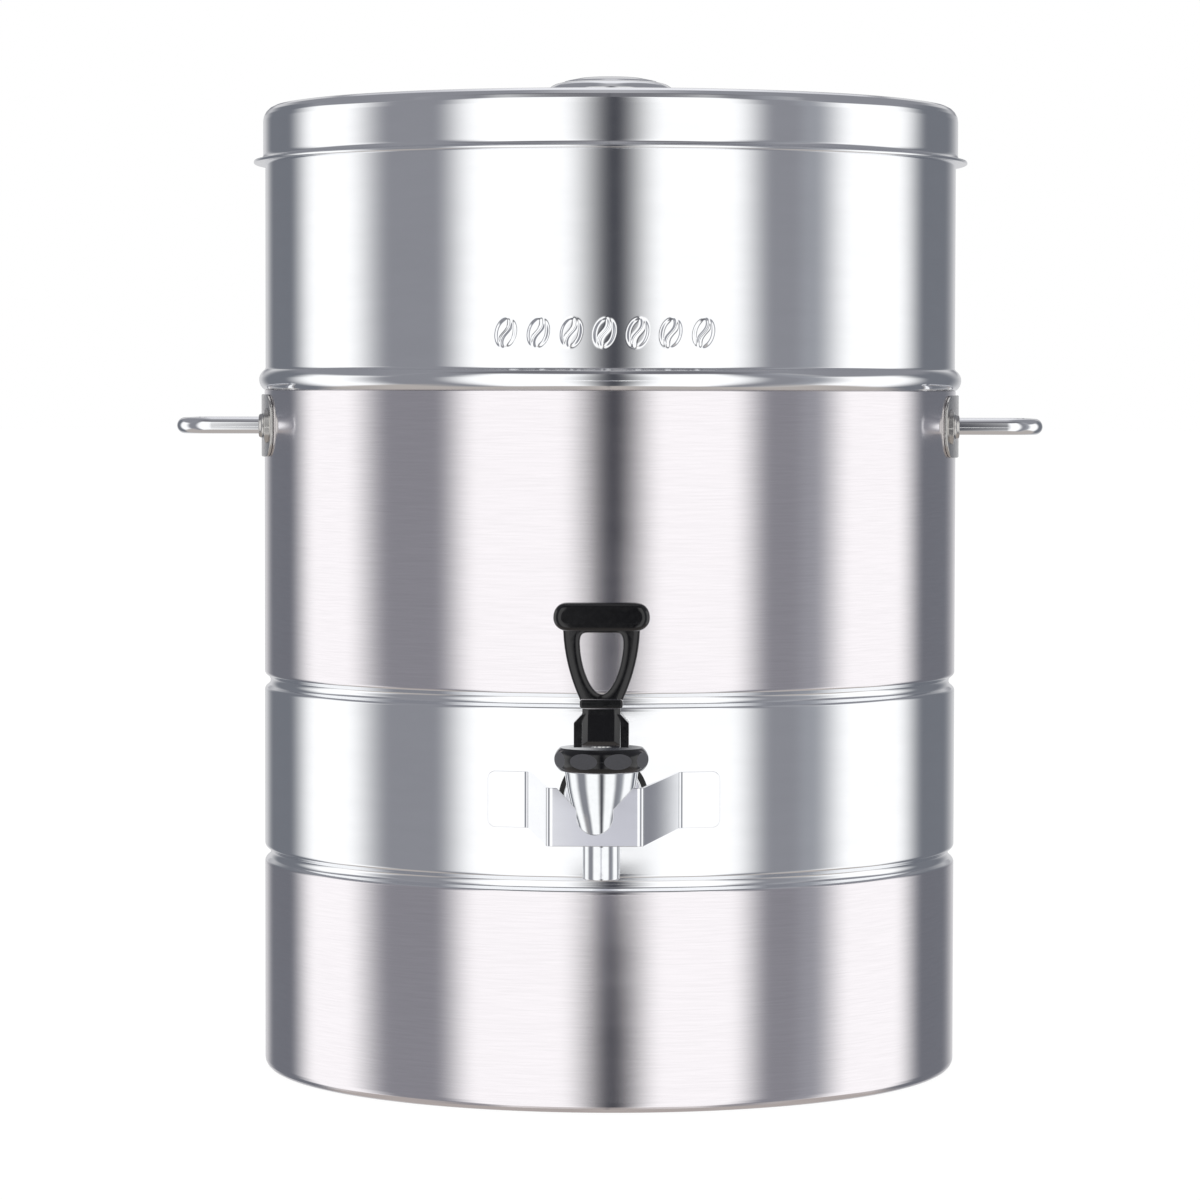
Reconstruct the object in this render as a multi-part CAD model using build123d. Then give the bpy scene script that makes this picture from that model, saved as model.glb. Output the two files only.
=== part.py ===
"""Two-tier stainless steel coffee urn with a lever tap, as separate pieces.

Millimetres, +Z up. The origin lies on the vessels' axis, in the plane the foot stands
on. The tap faces -Y, and the carrying handles stand out along X. Ground coffee goes on
the filter plate in the upper vessel, and the brew drips into the lower vessel, which
stands on its own skirt and empties through the tap.
"""

import os
from math import acos, asin, cos, degrees, radians, sin, sqrt, tan

from build123d import *

# ------------------------------------------------------------------ driving sizes
# Lower vessel
body_radius = 140.0
body_height = 273.2
sheet = 1.0
foot_corner = 4.0
foot_lip = 12.0
groove_depth = 2.4
groove_mouth = 6.8
groove_bed = 2.6
lower_groove_height = 88.1
upper_groove_height = 156.7
floor_flange = 9.5
floor_corner = 4.0

# Upper vessel
upper_step = 0.4
upper_height = 109.0
spigot_depth = 58.0
bead_reach = 2.3
bead_round = 4.8
ledge_width = 8.0

# Filter and press
filter_sheet = 1.2
filter_hole = 3.0
filter_ring_count = 2
filter_ring_step = 50.0
press_clearance = 4.65
press_sheet = 1.5
press_rim = 8.0
press_hole = 5.0
press_hole_count = 6
press_hole_circle = 85.0
press_hub_radius = 12.0
press_hub_height = 8.0
rod_radius = 4.0
rod_length = 98.0
rod_grip = 10.0
press_knob_radius = 14.0
press_knob_height = 18.0
press_knob_neck = 8.0
press_knob_edge = 2.0

# Lid
lid_sheet = 0.6
lid_depth = 23.1
lid_corner = 6.0
lid_flange_reach = 3.8
lid_flare = 3.0
knob_radius = 26.0
knob_crown = 5.9
knob_neck_radius = 14.0
knob_neck_height = 2.6
knob_undercut = 3.9
knob_dish_radius = 11.0
knob_dish = 1.6
knob_screw_radius = 2.5
knob_screw_head_radius = 5.0
knob_screw_head_height = 2.8
knob_screw_length = 8.0

# Carrying handles
handle_drop = 13.2
rod_wire_radius = 3.0
handle_reach = 33.2
handle_half_span = 34.0
handle_bend = 12.0
handle_socket = 2.0
plate_sheet = 1.2
plate_length = 93.4
plate_height = 25.0
plate_corner = 10.0
boss_base_radius = 7.0
boss_top_radius = 4.6
boss_height = 2.6

# Tap body, a plated casting with its shank through the wall
tap_over_floor = 19.25
tap_reach = 48.0
spout_radius = 6.85
spout_drop = 25.8
spout_bore = 4.8
tulip_foot = 11.0
tulip_waist_radius = 9.4
tulip_waist_drop = 5.0
tulip_bulge_radius = 12.1
tulip_bulge_height = 3.2
tulip_top_radius = 13.6
tulip_top = 14.2
spigot_thread_radius = 13.0
chamber_radius = 10.0
chamber_floor = 1.7
seat_height = -5.8
shank_radius = 8.0
shank_bore = 5.5
shank_length = 20.0
neck_radius = 9.5
shoulder_radius = 15.0
shoulder_width = 3.0

# Seals and lock nut on the shank
gasket_radius = 17.0
gasket_width = 3.0
inner_gasket_radius = 15.0
inner_gasket_width = 4.0
washer_radius = 14.0
washer_width = 1.5
nut_across_flats = 27.0
nut_width = 7.0

# Bonnet, stem and lever
bonnet_radius = 17.25
bonnet_height = 8.5
bonnet_edge_radius = 14.9
bonnet_edge_height = 2.4
bonnet_web = 2.0
bonnet_flat_count = 8
bonnet_flat_radius = 16.5
stem_radius = 3.0
collar_radius = 6.2
collar_width = 1.5
stem_tip = -2.3
cup_radius = 7.5
cup_top = 6.5
cup_nose_radius = 4.0
spring_radius = 4.8
spring_wire = 0.9
spring_turn_count = 3
valve_lift = 4.0
lever_swing = 40.0
pin_height = 6.0
pin_radius = 1.5
lever_head_room = 1.6
cam_stop = 1.2
neck_half_width = 7.0
neck_half_depth = 5.5
neck_facet = 2.2
slot_half_width = 3.5
wing_half_width = 10.1
wing_half_depth = 4.5
wing_top = 6.3
wing_shoulder = 3.3
collar_ridge_height = 3.2
collar_ridge_half_width = 7.9
collar_ridge_half_depth = 6.3
grip_start = 10.1
grip_half_depth = 3.25
grip_foot_half_width = 7.0
grip_waist_half_width = 12.2
grip_waist_height = 12.8
grip_head_half_width = 14.1
bar_half_length = 17.7
bar_height = 10.5
bar_half_depth = 4.5
bar_flare = 3.7
bar_corner = 5.0
bar_chamfer = 1.5
grip_chamfer = 0.8
eye_foot_half_width = 2.6
eye_waist_half_width = 7.6
eye_waist_height = 10.6
eye_head_half_width = 9.3
eye_foot_gap = 2.2
eye_height = 24.3
eye_corner = 2.5

# Tap guard, one bent strip
guard_sheet = 1.2
guard_height = 21.3
guard_drop = 0.8
guard_flange = 16.0
guard_flange_offset = 36.4
guard_reach = 72.0
guard_plate = 35.0
guard_plate_shift = -2.0
guard_bend = 2.5
guard_corner = 3.0
notch_half_mouth = 13.8
notch_half_width = 6.6
notch_slope = 7.9
notch_depth = 17.0

# Chords in a rounded corner and round the bead
corner_chord_count = 2
bead_chord_count = 5
crown_chord_count = 4

# Clearances
slip_fit = 0.35
lid_fit = 0.25
drop_in_gap = 0.4
seat_gap = 0.3
running_fit = 0.05
weld_gap = 0.05
cup_gap = 0.3
cam_gap = 0.2
hole_clearance = 0.3

# ------------------------------------------------------------------ worked-out sizes
inner_radius = body_radius - sheet
floor_rest = lower_groove_height + groove_mouth / 2 + weld_gap
floor_top = floor_rest + floor_flange
tap_height = floor_top + tap_over_floor

upper_radius = body_radius - upper_step
spigot_radius = inner_radius - slip_fit
spigot_bottom = body_height - spigot_depth
bead_nose_radius = body_radius + bead_reach
bead_centre_radius = bead_nose_radius - bead_round
bead_centre = body_height + sqrt(bead_round**2 - (body_radius - bead_centre_radius) ** 2)
upper_rim = body_height + upper_height

filter_bottom = spigot_bottom + sheet
filter_top = filter_bottom + filter_sheet
press_radius = spigot_radius - sheet - press_clearance
press_bottom = filter_top + seat_gap
rod_foot = press_bottom + press_sheet
rod_top = rod_foot + rod_length

skirt_inner = upper_radius + lid_fit
skirt_radius = skirt_inner + lid_sheet
lid_inner_corner = lid_corner - lid_sheet
lid_under = upper_rim + lid_inner_corner - lid_fit + seat_gap * sqrt(2)
lid_top = lid_under + lid_sheet
lid_bottom = lid_top - lid_depth
knob_rim = lid_top + knob_neck_height + knob_undercut

handle_height = body_height - handle_drop
plate_inner = body_radius + weld_gap
plate_outer = plate_inner + plate_sheet

tap_y = -(body_radius + tap_reach)
shoulder_face = -(body_radius + gasket_width)
nut_seat = -(inner_radius - inner_gasket_width)
bonnet_bottom = tap_height + tulip_top + cam_gap
bonnet_top = bonnet_bottom + bonnet_height
bonnet_under = bonnet_top - bonnet_web
collar_top = tap_height + cup_top + collar_width
pin_z = bonnet_top + cam_gap + pin_height
cam_rate = valve_lift / radians(lever_swing)
seat_slope = (chamber_floor - seat_height) / (chamber_radius - spout_bore)


# ------------------------------------------------------------------ shared forms
def turned(points):
    """Revolve a closed outline of (radius, height) points."""
    return revolve(Plane.XZ * make_face(Polyline(*points, close=True)), Axis.Z)


def rounding(centre, reach, rise, start, end, steps):
    """Points along an arc or a quarter ellipse, in short chords that keep the facets few."""
    angles = [radians(start + (end - start) * step / steps) for step in range(steps + 1)]
    return [(centre[0] + reach * cos(angle), centre[1] + rise * sin(angle)) for angle in angles]


def groove(wall, height, inward=1):
    """Outline points of a swaged groove, from its lower edge to its upper one."""
    bed = wall - groove_depth
    points = [
        (wall, height - groove_mouth / 2),
        (bed, height - groove_bed / 2),
        (bed, height + groove_bed / 2),
        (wall, height + groove_mouth / 2),
    ]
    return points[::inward]


def across(radius, y_from, y_to, height=tap_height):
    """A round bar along Y, on the tap shank's line."""
    middle = (y_from + y_to) / 2
    return Pos(0, middle, height) * Rot(90, 0, 0) * Cylinder(radius, abs(y_to - y_from))


def tap_turned(points):
    """A turned piece that stands on the spout's axis."""
    return Pos(0, tap_y, 0) * turned(points)


# ------------------------------------------------------------------ lower vessel
def lower_shell():
    """Rolled wall with two swaged grooves and an in-turned foot, open at the top."""
    lip = body_radius - foot_corner - foot_lip
    corner = (body_radius - foot_corner, foot_corner)
    outside = [(lip, 0), *rounding(corner, foot_corner, foot_corner, -90, 0, corner_chord_count)]
    outside += groove(body_radius, lower_groove_height)
    outside += groove(body_radius, upper_groove_height)
    outside.append((body_radius, body_height))
    inside = [(inner_radius, body_height)]
    inside += groove(inner_radius, upper_groove_height, inward=-1)
    inside += groove(inner_radius, lower_groove_height, inward=-1)
    inside += [(inner_radius, foot_corner), (body_radius - foot_corner, sheet), (lip, sheet)]
    shell = turned(outside + inside)
    tap_hole = across(shank_radius + hole_clearance, -body_radius - sheet, -inner_radius + sheet)
    return shell - tap_hole


def tank_floor():
    """Raised floor whose turned-down flange rests on the lower groove's inner ridge."""
    edge = inner_radius - weld_gap
    points = [
        (0, floor_top),
        (edge - floor_corner, floor_top),
        (edge, floor_top - floor_corner),
        (edge, floor_rest),
        (edge - sheet, floor_rest),
        (edge - sheet, floor_top - floor_corner),
        (edge - floor_corner, floor_top - sheet),
        (0, floor_top - sheet),
    ]
    return turned(points)


def handle_plate(side):
    """Curved backing plate with a conical boss round each end of the handle's rod."""
    blank = Plane.YZ * Pos(0, handle_height) * RectangleRounded(plate_length, plate_height, plate_corner)
    blank = extrude(blank, amount=plate_outer)
    rings = Cylinder(plate_outer, body_height * 2) - Cylinder(plate_inner, body_height * 2)
    plate = blank & rings
    for y in (-handle_half_span, handle_half_span):
        root = sqrt(plate_outer**2 - y**2)
        cone = Cone(boss_base_radius, boss_top_radius, boss_height + plate_sheet)
        cone = Pos(root + (boss_height - plate_sheet) / 2, y, handle_height) * Rot(0, 90, 0) * cone
        plate += cone - Cylinder(plate_inner, body_height * 2)
        hole = Cylinder(rod_wire_radius + running_fit, handle_socket)
        plate -= Pos(root + boss_height - handle_socket / 2, y, handle_height) * Rot(0, 90, 0) * hole
    return plate if side > 0 else mirror(plate, Plane.YZ)


def handle_loop(side):
    """Round rod bent to a U, its ends in the plate's bosses."""
    root = sqrt(plate_outer**2 - handle_half_span**2) + boss_height - handle_socket
    tip = body_radius + handle_reach
    line = FilletPolyline(
        (root, -handle_half_span, handle_height),
        (tip, -handle_half_span, handle_height),
        (tip, handle_half_span, handle_height),
        (root, handle_half_span, handle_height),
        radius=handle_bend,
    )
    loop = sweep(Plane(line @ 0, z_dir=line % 0) * Circle(rod_wire_radius), path=line)
    return loop if side > 0 else mirror(loop, Plane.YZ)


# ------------------------------------------------------------------ upper vessel
def upper_vessel():
    """Spigot that hangs in the lower vessel, rolled bead that seats on it, and wall."""
    wall_inside = upper_radius - sheet
    seat_inside = body_height + sheet
    ledge = spigot_radius - ledge_width
    reach = upper_radius - bead_centre_radius
    bead_end = degrees(acos(reach / bead_round))
    bead_start = -degrees(acos((body_radius - bead_centre_radius) / bead_round))
    bead = rounding(
        (bead_centre_radius, bead_centre), bead_round, bead_round, bead_start, bead_end, bead_chord_count
    )
    hollow_top = bead[-1][1] - sheet
    points = [
        (spigot_radius, body_height),
        *bead,
        (upper_radius, upper_rim),
        (wall_inside, upper_rim),
        (wall_inside, hollow_top),
        (bead_nose_radius - sheet, bead_centre),
        (spigot_radius - sheet, seat_inside),
        (spigot_radius - sheet, spigot_bottom + sheet),
        (ledge, spigot_bottom + sheet),
        (ledge, spigot_bottom),
        (spigot_radius, spigot_bottom),
    ]
    return turned(points)


def filter_plate():
    """Disc that lies on the upper vessel's ledge, with rings of hexagonal perforations."""
    hole = RegularPolygon(filter_hole, 6)
    disc = Circle(spigot_radius - sheet - drop_in_gap) - hole
    for ring in range(1, filter_ring_count + 1):
        disc -= PolarLocations(ring * filter_ring_step, 6 * ring) * hole
    return Pos(0, 0, filter_bottom) * extrude(disc, amount=filter_sheet)


def press_disc():
    """Dished disc that holds the grounds down, with a hub for its rod."""
    dish = turned(
        [
            (0, press_bottom),
            (press_radius, press_bottom),
            (press_radius, press_bottom + press_rim),
            (press_radius - press_sheet, press_bottom + press_rim),
            (press_radius - press_sheet, press_bottom + press_sheet),
            (press_hub_radius, press_bottom + press_sheet),
            (press_hub_radius, press_bottom + press_hub_height),
            (rod_radius + running_fit, press_bottom + press_hub_height),
            (rod_radius + running_fit, rod_foot),
            (0, rod_foot),
        ]
    )
    holes = Sketch() + PolarLocations(press_hole_circle, press_hole_count) * RegularPolygon(press_hole, 6)
    return dish - Pos(0, 0, press_bottom) * extrude(holes, amount=press_rim)


def press_rod():
    """Rod that stands in the press disc's hub."""
    return Pos(0, 0, rod_foot + rod_length / 2) * Cylinder(rod_radius, rod_length)


def press_knob():
    """Turned grip on the top of the press rod."""
    foot = rod_top - rod_grip
    top = foot + press_knob_height
    bore = rod_radius + running_fit
    points = [
        (bore, foot),
        (press_knob_neck, foot),
        (press_knob_neck, foot + press_knob_height / 2),
        (press_knob_radius, foot + press_knob_height / 2),
        (press_knob_radius, top - press_knob_edge),
        (press_knob_radius - press_knob_edge, top),
        (0, top),
        (0, rod_top),
        (bore, rod_top),
    ]
    return turned(points)


# ------------------------------------------------------------------ lid
def lid():
    """Cap lid: flat top, rounded corner, and a skirt that flares to a thin flange."""
    flange = skirt_radius + lid_flange_reach
    bore = knob_screw_radius + hole_clearance
    corner = (skirt_radius - lid_corner, lid_top - lid_corner)
    points = [
        (bore, lid_top),
        *rounding(corner, lid_corner, lid_corner, 90, 0, corner_chord_count),
        (skirt_radius, lid_bottom + lid_sheet + lid_flare),
        (skirt_radius + lid_flare / 2, lid_bottom + lid_sheet + lid_flare / 4),
        (flange, lid_bottom + lid_sheet),
        (flange, lid_bottom),
        (skirt_radius, lid_bottom),
        (skirt_inner, lid_bottom + lid_flare / 2),
        (skirt_inner, lid_under - lid_inner_corner),
        (skirt_inner - lid_inner_corner, lid_under),
        (bore, lid_under),
    ]
    return turned(points)


def lid_knob():
    """Low turned bun with a finger undercut, a short dished neck and a bore for its screw."""
    neck_top = lid_top + knob_neck_height
    screw_end = lid_top + knob_screw_length - lid_sheet
    points = [
        *rounding((0, knob_rim), knob_radius, knob_crown, 0, 90, crown_chord_count),
        (0, screw_end),
        (knob_screw_radius, screw_end),
        (knob_screw_radius, lid_top + knob_dish),
        (knob_dish_radius - knob_dish, lid_top + knob_dish),
        (knob_dish_radius, lid_top),
        (knob_neck_radius, lid_top),
        (knob_neck_radius, neck_top),
        (knob_radius - knob_undercut / 2, knob_rim - knob_undercut / 2),
    ]
    return turned(points)


def lid_knob_screw():
    """Pan-head screw from under the lid into the knob's boss."""
    head_foot = lid_under - knob_screw_head_height
    points = [
        (0, head_foot),
        (knob_screw_head_radius * 0.7, head_foot),
        (knob_screw_head_radius, lid_under - knob_screw_head_height / 3),
        (knob_screw_head_radius, lid_under),
        (knob_screw_radius - running_fit, lid_under),
        (knob_screw_radius - running_fit, lid_under + knob_screw_length),
        (0, lid_under + knob_screw_length),
    ]
    return turned(points)


# ------------------------------------------------------------------ tap
def tap_body():
    """Tulip-shaped casting: valve chamber, spout, neck, shoulder and threaded shank."""
    top = bonnet_under
    tulip_end = tap_height + tulip_top
    body = tap_turned(
        [
            (spout_bore, top),
            (spigot_thread_radius, top),
            (spigot_thread_radius, tulip_end),
            (tulip_top_radius, tulip_end),
            (tulip_bulge_radius, tap_height + tulip_bulge_height),
            (tulip_waist_radius, tap_height - tulip_waist_drop),
            (spout_radius, tap_height - tulip_foot),
            (spout_radius, tap_height - spout_drop),
            (spout_bore, tap_height - spout_drop),
        ]
    )
    shank_end = -inner_radius + shank_length
    body += across(neck_radius, tap_y + spout_bore, shoulder_face)
    body += across(shoulder_radius, shoulder_face - shoulder_width, shoulder_face)
    body += across(shank_radius, shoulder_face, shank_end)
    chamber = tap_turned(
        [
            (0, tap_height + seat_height),
            (spout_bore, tap_height + seat_height),
            (chamber_radius, tap_height + chamber_floor),
            (chamber_radius, top),
            (0, top),
        ]
    )
    waterway = across(shank_bore, tap_y, shank_end)
    outlet = tap_turned(
        [
            (0, tap_height - spout_drop),
            (spout_bore, tap_height - spout_drop),
            (spout_bore, tap_height),
            (0, tap_height),
        ]
    )
    return body - chamber - waterway - outlet


def outer_gasket():
    """Rubber seal between the tap's shoulder and the curved wall."""
    disc = across(gasket_radius, shoulder_face, -body_radius + gasket_width)
    disc -= Cylinder(body_radius + weld_gap, body_height * 2)
    return disc - across(shank_radius + running_fit, shoulder_face, -inner_radius)


def inner_gasket():
    """Rubber seal inside the wall, under the washer."""
    disc = across(inner_gasket_radius, -body_radius, nut_seat)
    disc &= Cylinder(inner_radius - weld_gap, body_height * 2)
    return disc - across(shank_radius + running_fit, -body_radius, nut_seat)


def shank_washer():
    """Flat washer between the inner gasket and the lock nut."""
    face = nut_seat + washer_width
    return across(washer_radius, nut_seat, face) - across(shank_radius + running_fit, nut_seat, face)


def shank_nut():
    """Hexagon lock nut that draws the tap against the wall."""
    start = nut_seat + washer_width
    hexagon = RegularPolygon(nut_across_flats / 2, 6, major_radius=False, rotation=30)
    nut = extrude(Plane.XZ.offset(-start) * Pos(0, tap_height) * hexagon, amount=-nut_width)
    return nut - across(shank_radius + running_fit, start, start + nut_width)


def tap_bonnet():
    """Moulded ring nut with a chamfered rim, finger flats and a web round the stem."""
    bore = spigot_thread_radius + running_fit
    stem_bore = stem_radius + running_fit
    points = [
        (bore, bonnet_bottom),
        (bonnet_edge_radius, bonnet_bottom),
        (bonnet_radius, bonnet_bottom + bonnet_edge_height),
        (bonnet_radius, bonnet_top - bonnet_edge_height),
        (bonnet_edge_radius, bonnet_top),
        (stem_bore, bonnet_top),
        (stem_bore, bonnet_under),
        (bore, bonnet_under),
    ]
    flats = RegularPolygon(bonnet_flat_radius, bonnet_flat_count, major_radius=False)
    prism = Pos(0, 0, bonnet_bottom) * extrude(flats, amount=bonnet_height)
    return Pos(0, tap_y, 0) * (turned(points) & prism)


def tap_stem():
    """Lifting stem: eye for the lever's pin, collar under the spring, tip in the cup."""
    collar_foot = collar_top - collar_width
    tip = tap_height + stem_tip
    head = pin_z + stem_radius
    points = [
        (0, tip),
        (stem_radius, tip),
        (stem_radius, collar_foot),
        (collar_radius, collar_foot),
        (collar_radius, collar_top),
        (stem_radius, collar_top),
        (stem_radius, head - stem_radius / 2),
        (stem_radius / 2, head),
        (0, head),
    ]
    eye = Pos(0, tap_y, pin_z) * Rot(0, 90, 0) * Cylinder(pin_radius + running_fit, body_radius)
    return tap_turned(points) - eye


def seat_cup():
    """Soft valve cup on the stem's tip, a parallel gap above the casting's cone seat."""
    lift = cup_gap * sqrt(1 + seat_slope**2)
    cone_foot = tap_height + seat_height + lift
    nose = cone_foot + (cup_nose_radius - spout_bore) * seat_slope
    shoulder = cone_foot + (cup_radius - spout_bore) * seat_slope
    top = tap_height + cup_top
    bore = stem_radius + running_fit
    points = [
        (0, nose),
        (cup_nose_radius, nose),
        (cup_radius, shoulder),
        (cup_radius, top),
        (bore, top),
        (bore, tap_height + stem_tip),
        (0, tap_height + stem_tip),
    ]
    return tap_turned(points)


def tap_spring():
    """Closing spring between the stem's collar and the bonnet's web."""
    foot = collar_top + spring_wire / 2 + weld_gap
    length = bonnet_under - foot - spring_wire / 2 - weld_gap
    coil = Helix(length / spring_turn_count, length, spring_radius)
    wire = Plane(coil @ 0, z_dir=coil % 0) * Rectangle(spring_wire, spring_wire)
    return Pos(0, tap_y, foot) * sweep(wire, path=coil, is_frenet=True)


def lever_neck():
    """Neck over a cam foot, about the pin. The involute lifts the stem evenly with the pull."""

    def cam(angle):
        reach = pin_height + cam_rate * angle
        return (
            -reach * sin(angle) - cam_rate * cos(angle),
            -reach * cos(angle) + cam_rate * sin(angle),
        )

    full = radians(lever_swing)
    end = cam(full)
    stop = (end[0] - cam_stop * cos(full), end[1] + cam_stop * sin(full))
    outline = make_face(
        [
            Spline(*[cam(full * step / 4) for step in range(5)]),
            *Polyline(
                end,
                stop,
                (-neck_half_depth, wing_top),
                (-neck_half_depth, grip_start),
                (neck_half_depth, grip_start),
                (neck_half_depth, -pin_height),
                cam(0),
            ).edges(),
        ]
    )
    neck = extrude(Plane.YZ * outline, amount=neck_half_width, both=True)
    front = [
        edge
        for edge in neck.faces().filter_by(Axis.X).edges()
        if edge.center().Z > stop[1] and edge.center().Y < running_fit - neck_half_depth
    ]
    return chamfer(front, neck_facet)


def lever_grip():
    """Open paddle under a cross bar with flared ends, about the pin."""
    bar_foot = grip_start + eye_foot_gap + eye_height
    bar_top = bar_foot + bar_height
    waist = grip_start + grip_waist_height
    paddle = make_face(
        [
            Line((-grip_foot_half_width, grip_start), (grip_foot_half_width, grip_start)),
            ThreePointArc(
                (grip_foot_half_width, grip_start),
                (grip_waist_half_width, waist),
                (grip_head_half_width, bar_foot),
            ),
            Line((grip_head_half_width, bar_foot), (-grip_head_half_width, bar_foot)),
            ThreePointArc(
                (-grip_head_half_width, bar_foot),
                (-grip_waist_half_width, waist),
                (-grip_foot_half_width, grip_start),
            ),
        ]
    )
    eye_foot = grip_start + eye_foot_gap
    eye_turn = eye_foot + eye_foot_half_width / 2
    eye_waist = eye_foot + eye_waist_height
    eye = make_face(
        [
            ThreePointArc((-eye_foot_half_width, eye_turn), (0, eye_foot), (eye_foot_half_width, eye_turn)),
            ThreePointArc(
                (eye_foot_half_width, eye_turn),
                (eye_waist_half_width, eye_waist),
                (eye_head_half_width, bar_foot),
            ),
            Line((eye_head_half_width, bar_foot), (-eye_head_half_width, bar_foot)),
            ThreePointArc(
                (-eye_head_half_width, bar_foot),
                (-eye_waist_half_width, eye_waist),
                (-eye_foot_half_width, eye_turn),
            ),
        ]
    )
    eye = fillet(eye.vertices().group_by(Axis.Y)[-1], eye_corner)
    grip = extrude(Plane.XZ * (paddle - eye), amount=grip_half_depth, both=True)

    bar = make_face(
        Polyline(
            (-grip_head_half_width, bar_foot),
            (grip_head_half_width, bar_foot),
            (bar_half_length, bar_foot + bar_flare),
            (bar_half_length, bar_top),
            (-bar_half_length, bar_top),
            (-bar_half_length, bar_foot + bar_flare),
            close=True,
        )
    )
    bar = fillet(bar.vertices().group_by(Axis.Y)[-1], bar_corner)
    bar = extrude(Plane.XZ * bar, amount=bar_half_depth, both=True)
    return grip + chamfer(bar.faces().filter_by(Axis.Y).edges(), bar_chamfer)


def tap_lever():
    """Moulded lever: grip, collar, neck with its cam foot, wings and the stem's slot."""
    shoulders = make_face(
        Polyline(
            (-wing_half_width, -pin_height),
            (wing_half_width, -pin_height),
            (wing_half_width, wing_top - wing_shoulder),
            (neck_half_width, wing_top),
            (-neck_half_width, wing_top),
            (-wing_half_width, wing_top - wing_shoulder),
            close=True,
        )
    )
    wings = extrude(Plane.XZ * shoulders, amount=wing_half_depth, both=True)
    ridge = Pos(0, grip_start) * Rectangle(2 * collar_ridge_half_width, collar_ridge_height)
    ridge = extrude(Plane.XZ * ridge, amount=collar_ridge_half_depth, both=True)
    ridge = chamfer(ridge.edges().filter_by(Axis.X), grip_chamfer)

    # The stem swings forward in the lever's slot, whose front stays closed down to the cam
    full = radians(lever_swing)
    room = stem_radius + cam_gap
    front = room / cos(full)
    fall = 2 * pin_height
    swing = Polyline((room, 0), (room, -fall), (-front - fall * tan(full), -fall), (-front, 0), close=True)
    slot = extrude(Plane.YZ * make_face(swing), amount=slot_half_width, both=True)
    slot += Rot(0, 90, 0) * Cylinder(stem_radius + lever_head_room, 2 * slot_half_width)
    pin_hole = Rot(0, 90, 0) * Cylinder(pin_radius + running_fit, body_radius)
    lever = lever_neck() + wings + ridge + lever_grip() - slot - pin_hole
    return Pos(0, tap_y, pin_z) * lever


def lever_pin():
    """Cross pin through the lever's wings and the stem's eye."""
    return Pos(0, tap_y, pin_z) * Rot(0, 90, 0) * Cylinder(pin_radius, 2 * wing_half_width - 2 * cam_gap)


def tap_guard():
    """Polished strip bent round the tap, with a notch that the spout shows through."""
    middle = tap_height - guard_drop
    lean = asin(guard_flange_offset / (plate_inner + guard_sheet))
    tangent = Vector(cos(lean), sin(lean))
    weld = Vector(sin(lean), -cos(lean)) * (plate_inner + guard_sheet)
    right = [weld + tangent * guard_flange / 2, weld - tangent * guard_flange / 2]
    left = [Vector(-point.X, point.Y) for point in right[::-1]]
    front = -(body_radius + guard_reach)
    plate = [
        Vector(guard_plate_shift + guard_plate / 2, front),
        Vector(guard_plate_shift - guard_plate / 2, front),
    ]
    line = FilletPolyline(*right, *plate, *left, radius=guard_bend)
    strip = make_brake_formed(guard_sheet, guard_height, line, side=Side.RIGHT)
    strip = Pos(0, 0, middle - strip.bounding_box().center().Z) * strip

    flange_ends = [
        edge
        for edge in strip.edges()
        if abs(edge.length - guard_sheet) < guard_sheet / 100 and abs(edge.center().X) > guard_flange_offset
    ]
    strip = fillet(flange_ends, guard_corner)

    top = middle + guard_height / 2
    bend = top - notch_depth + notch_half_width
    notch = make_face(
        Polyline(
            (-notch_half_mouth, top + guard_sheet),
            (-notch_half_mouth, top),
            (-notch_half_width, top - notch_slope),
            (-notch_half_width, bend),
            (notch_half_width, bend),
            (notch_half_width, top - notch_slope),
            (notch_half_mouth, top),
            (notch_half_mouth, top + guard_sheet),
            close=True,
        )
    )
    notch += Pos(0, bend) * Circle(notch_half_width)
    cutter = extrude(Plane.XZ * Pos(guard_plate_shift, 0) * notch, amount=guard_sheet * 2, both=True)
    return strip - Pos(0, front, 0) * cutter


# ------------------------------------------------------------------ all the pieces
def pieces():
    """Every piece by its node's name."""
    return {
        "lower_shell": lower_shell(),
        "tank_floor": tank_floor(),
        "handle_plate_right": handle_plate(1),
        "handle_plate_left": handle_plate(-1),
        "handle_loop_right": handle_loop(1),
        "handle_loop_left": handle_loop(-1),
        "tap_guard": tap_guard(),
        "tap_body": tap_body(),
        "tap_outer_gasket": outer_gasket(),
        "tap_inner_gasket": inner_gasket(),
        "tap_shank_washer": shank_washer(),
        "tap_shank_nut": shank_nut(),
        "tap_bonnet": tap_bonnet(),
        "tap_stem": tap_stem(),
        "tap_seat_cup": seat_cup(),
        "tap_spring": tap_spring(),
        "tap_lever": tap_lever(),
        "tap_lever_pin": lever_pin(),
        "upper_vessel": upper_vessel(),
        "filter_plate": filter_plate(),
        "press_disc": press_disc(),
        "press_rod": press_rod(),
        "press_knob": press_knob(),
        "lid": lid(),
        "lid_knob": lid_knob(),
        "lid_knob_screw": lid_knob_screw(),
    }


os.makedirs("parts", exist_ok=True)
for name, piece in pieces().items():
    export_step(piece, f"parts/{name}.step")
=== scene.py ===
"""Dresses the coffee urn: smooth turned steel, handles, guard and tap, with their finishes.

Metres, +Z up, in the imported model's frame. The origin lies on the vessels' axis in the
plane of the foot, the tap faces -Y, and the carrying handles stand out along X.
"""

from math import asin, atan2, cos, exp, pi, radians, sin, sqrt, tan

import bmesh
import bpy
from bpy.props import FloatProperty, FloatVectorProperty, IntProperty, PointerProperty
from mathutils import Matrix, Vector


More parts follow.
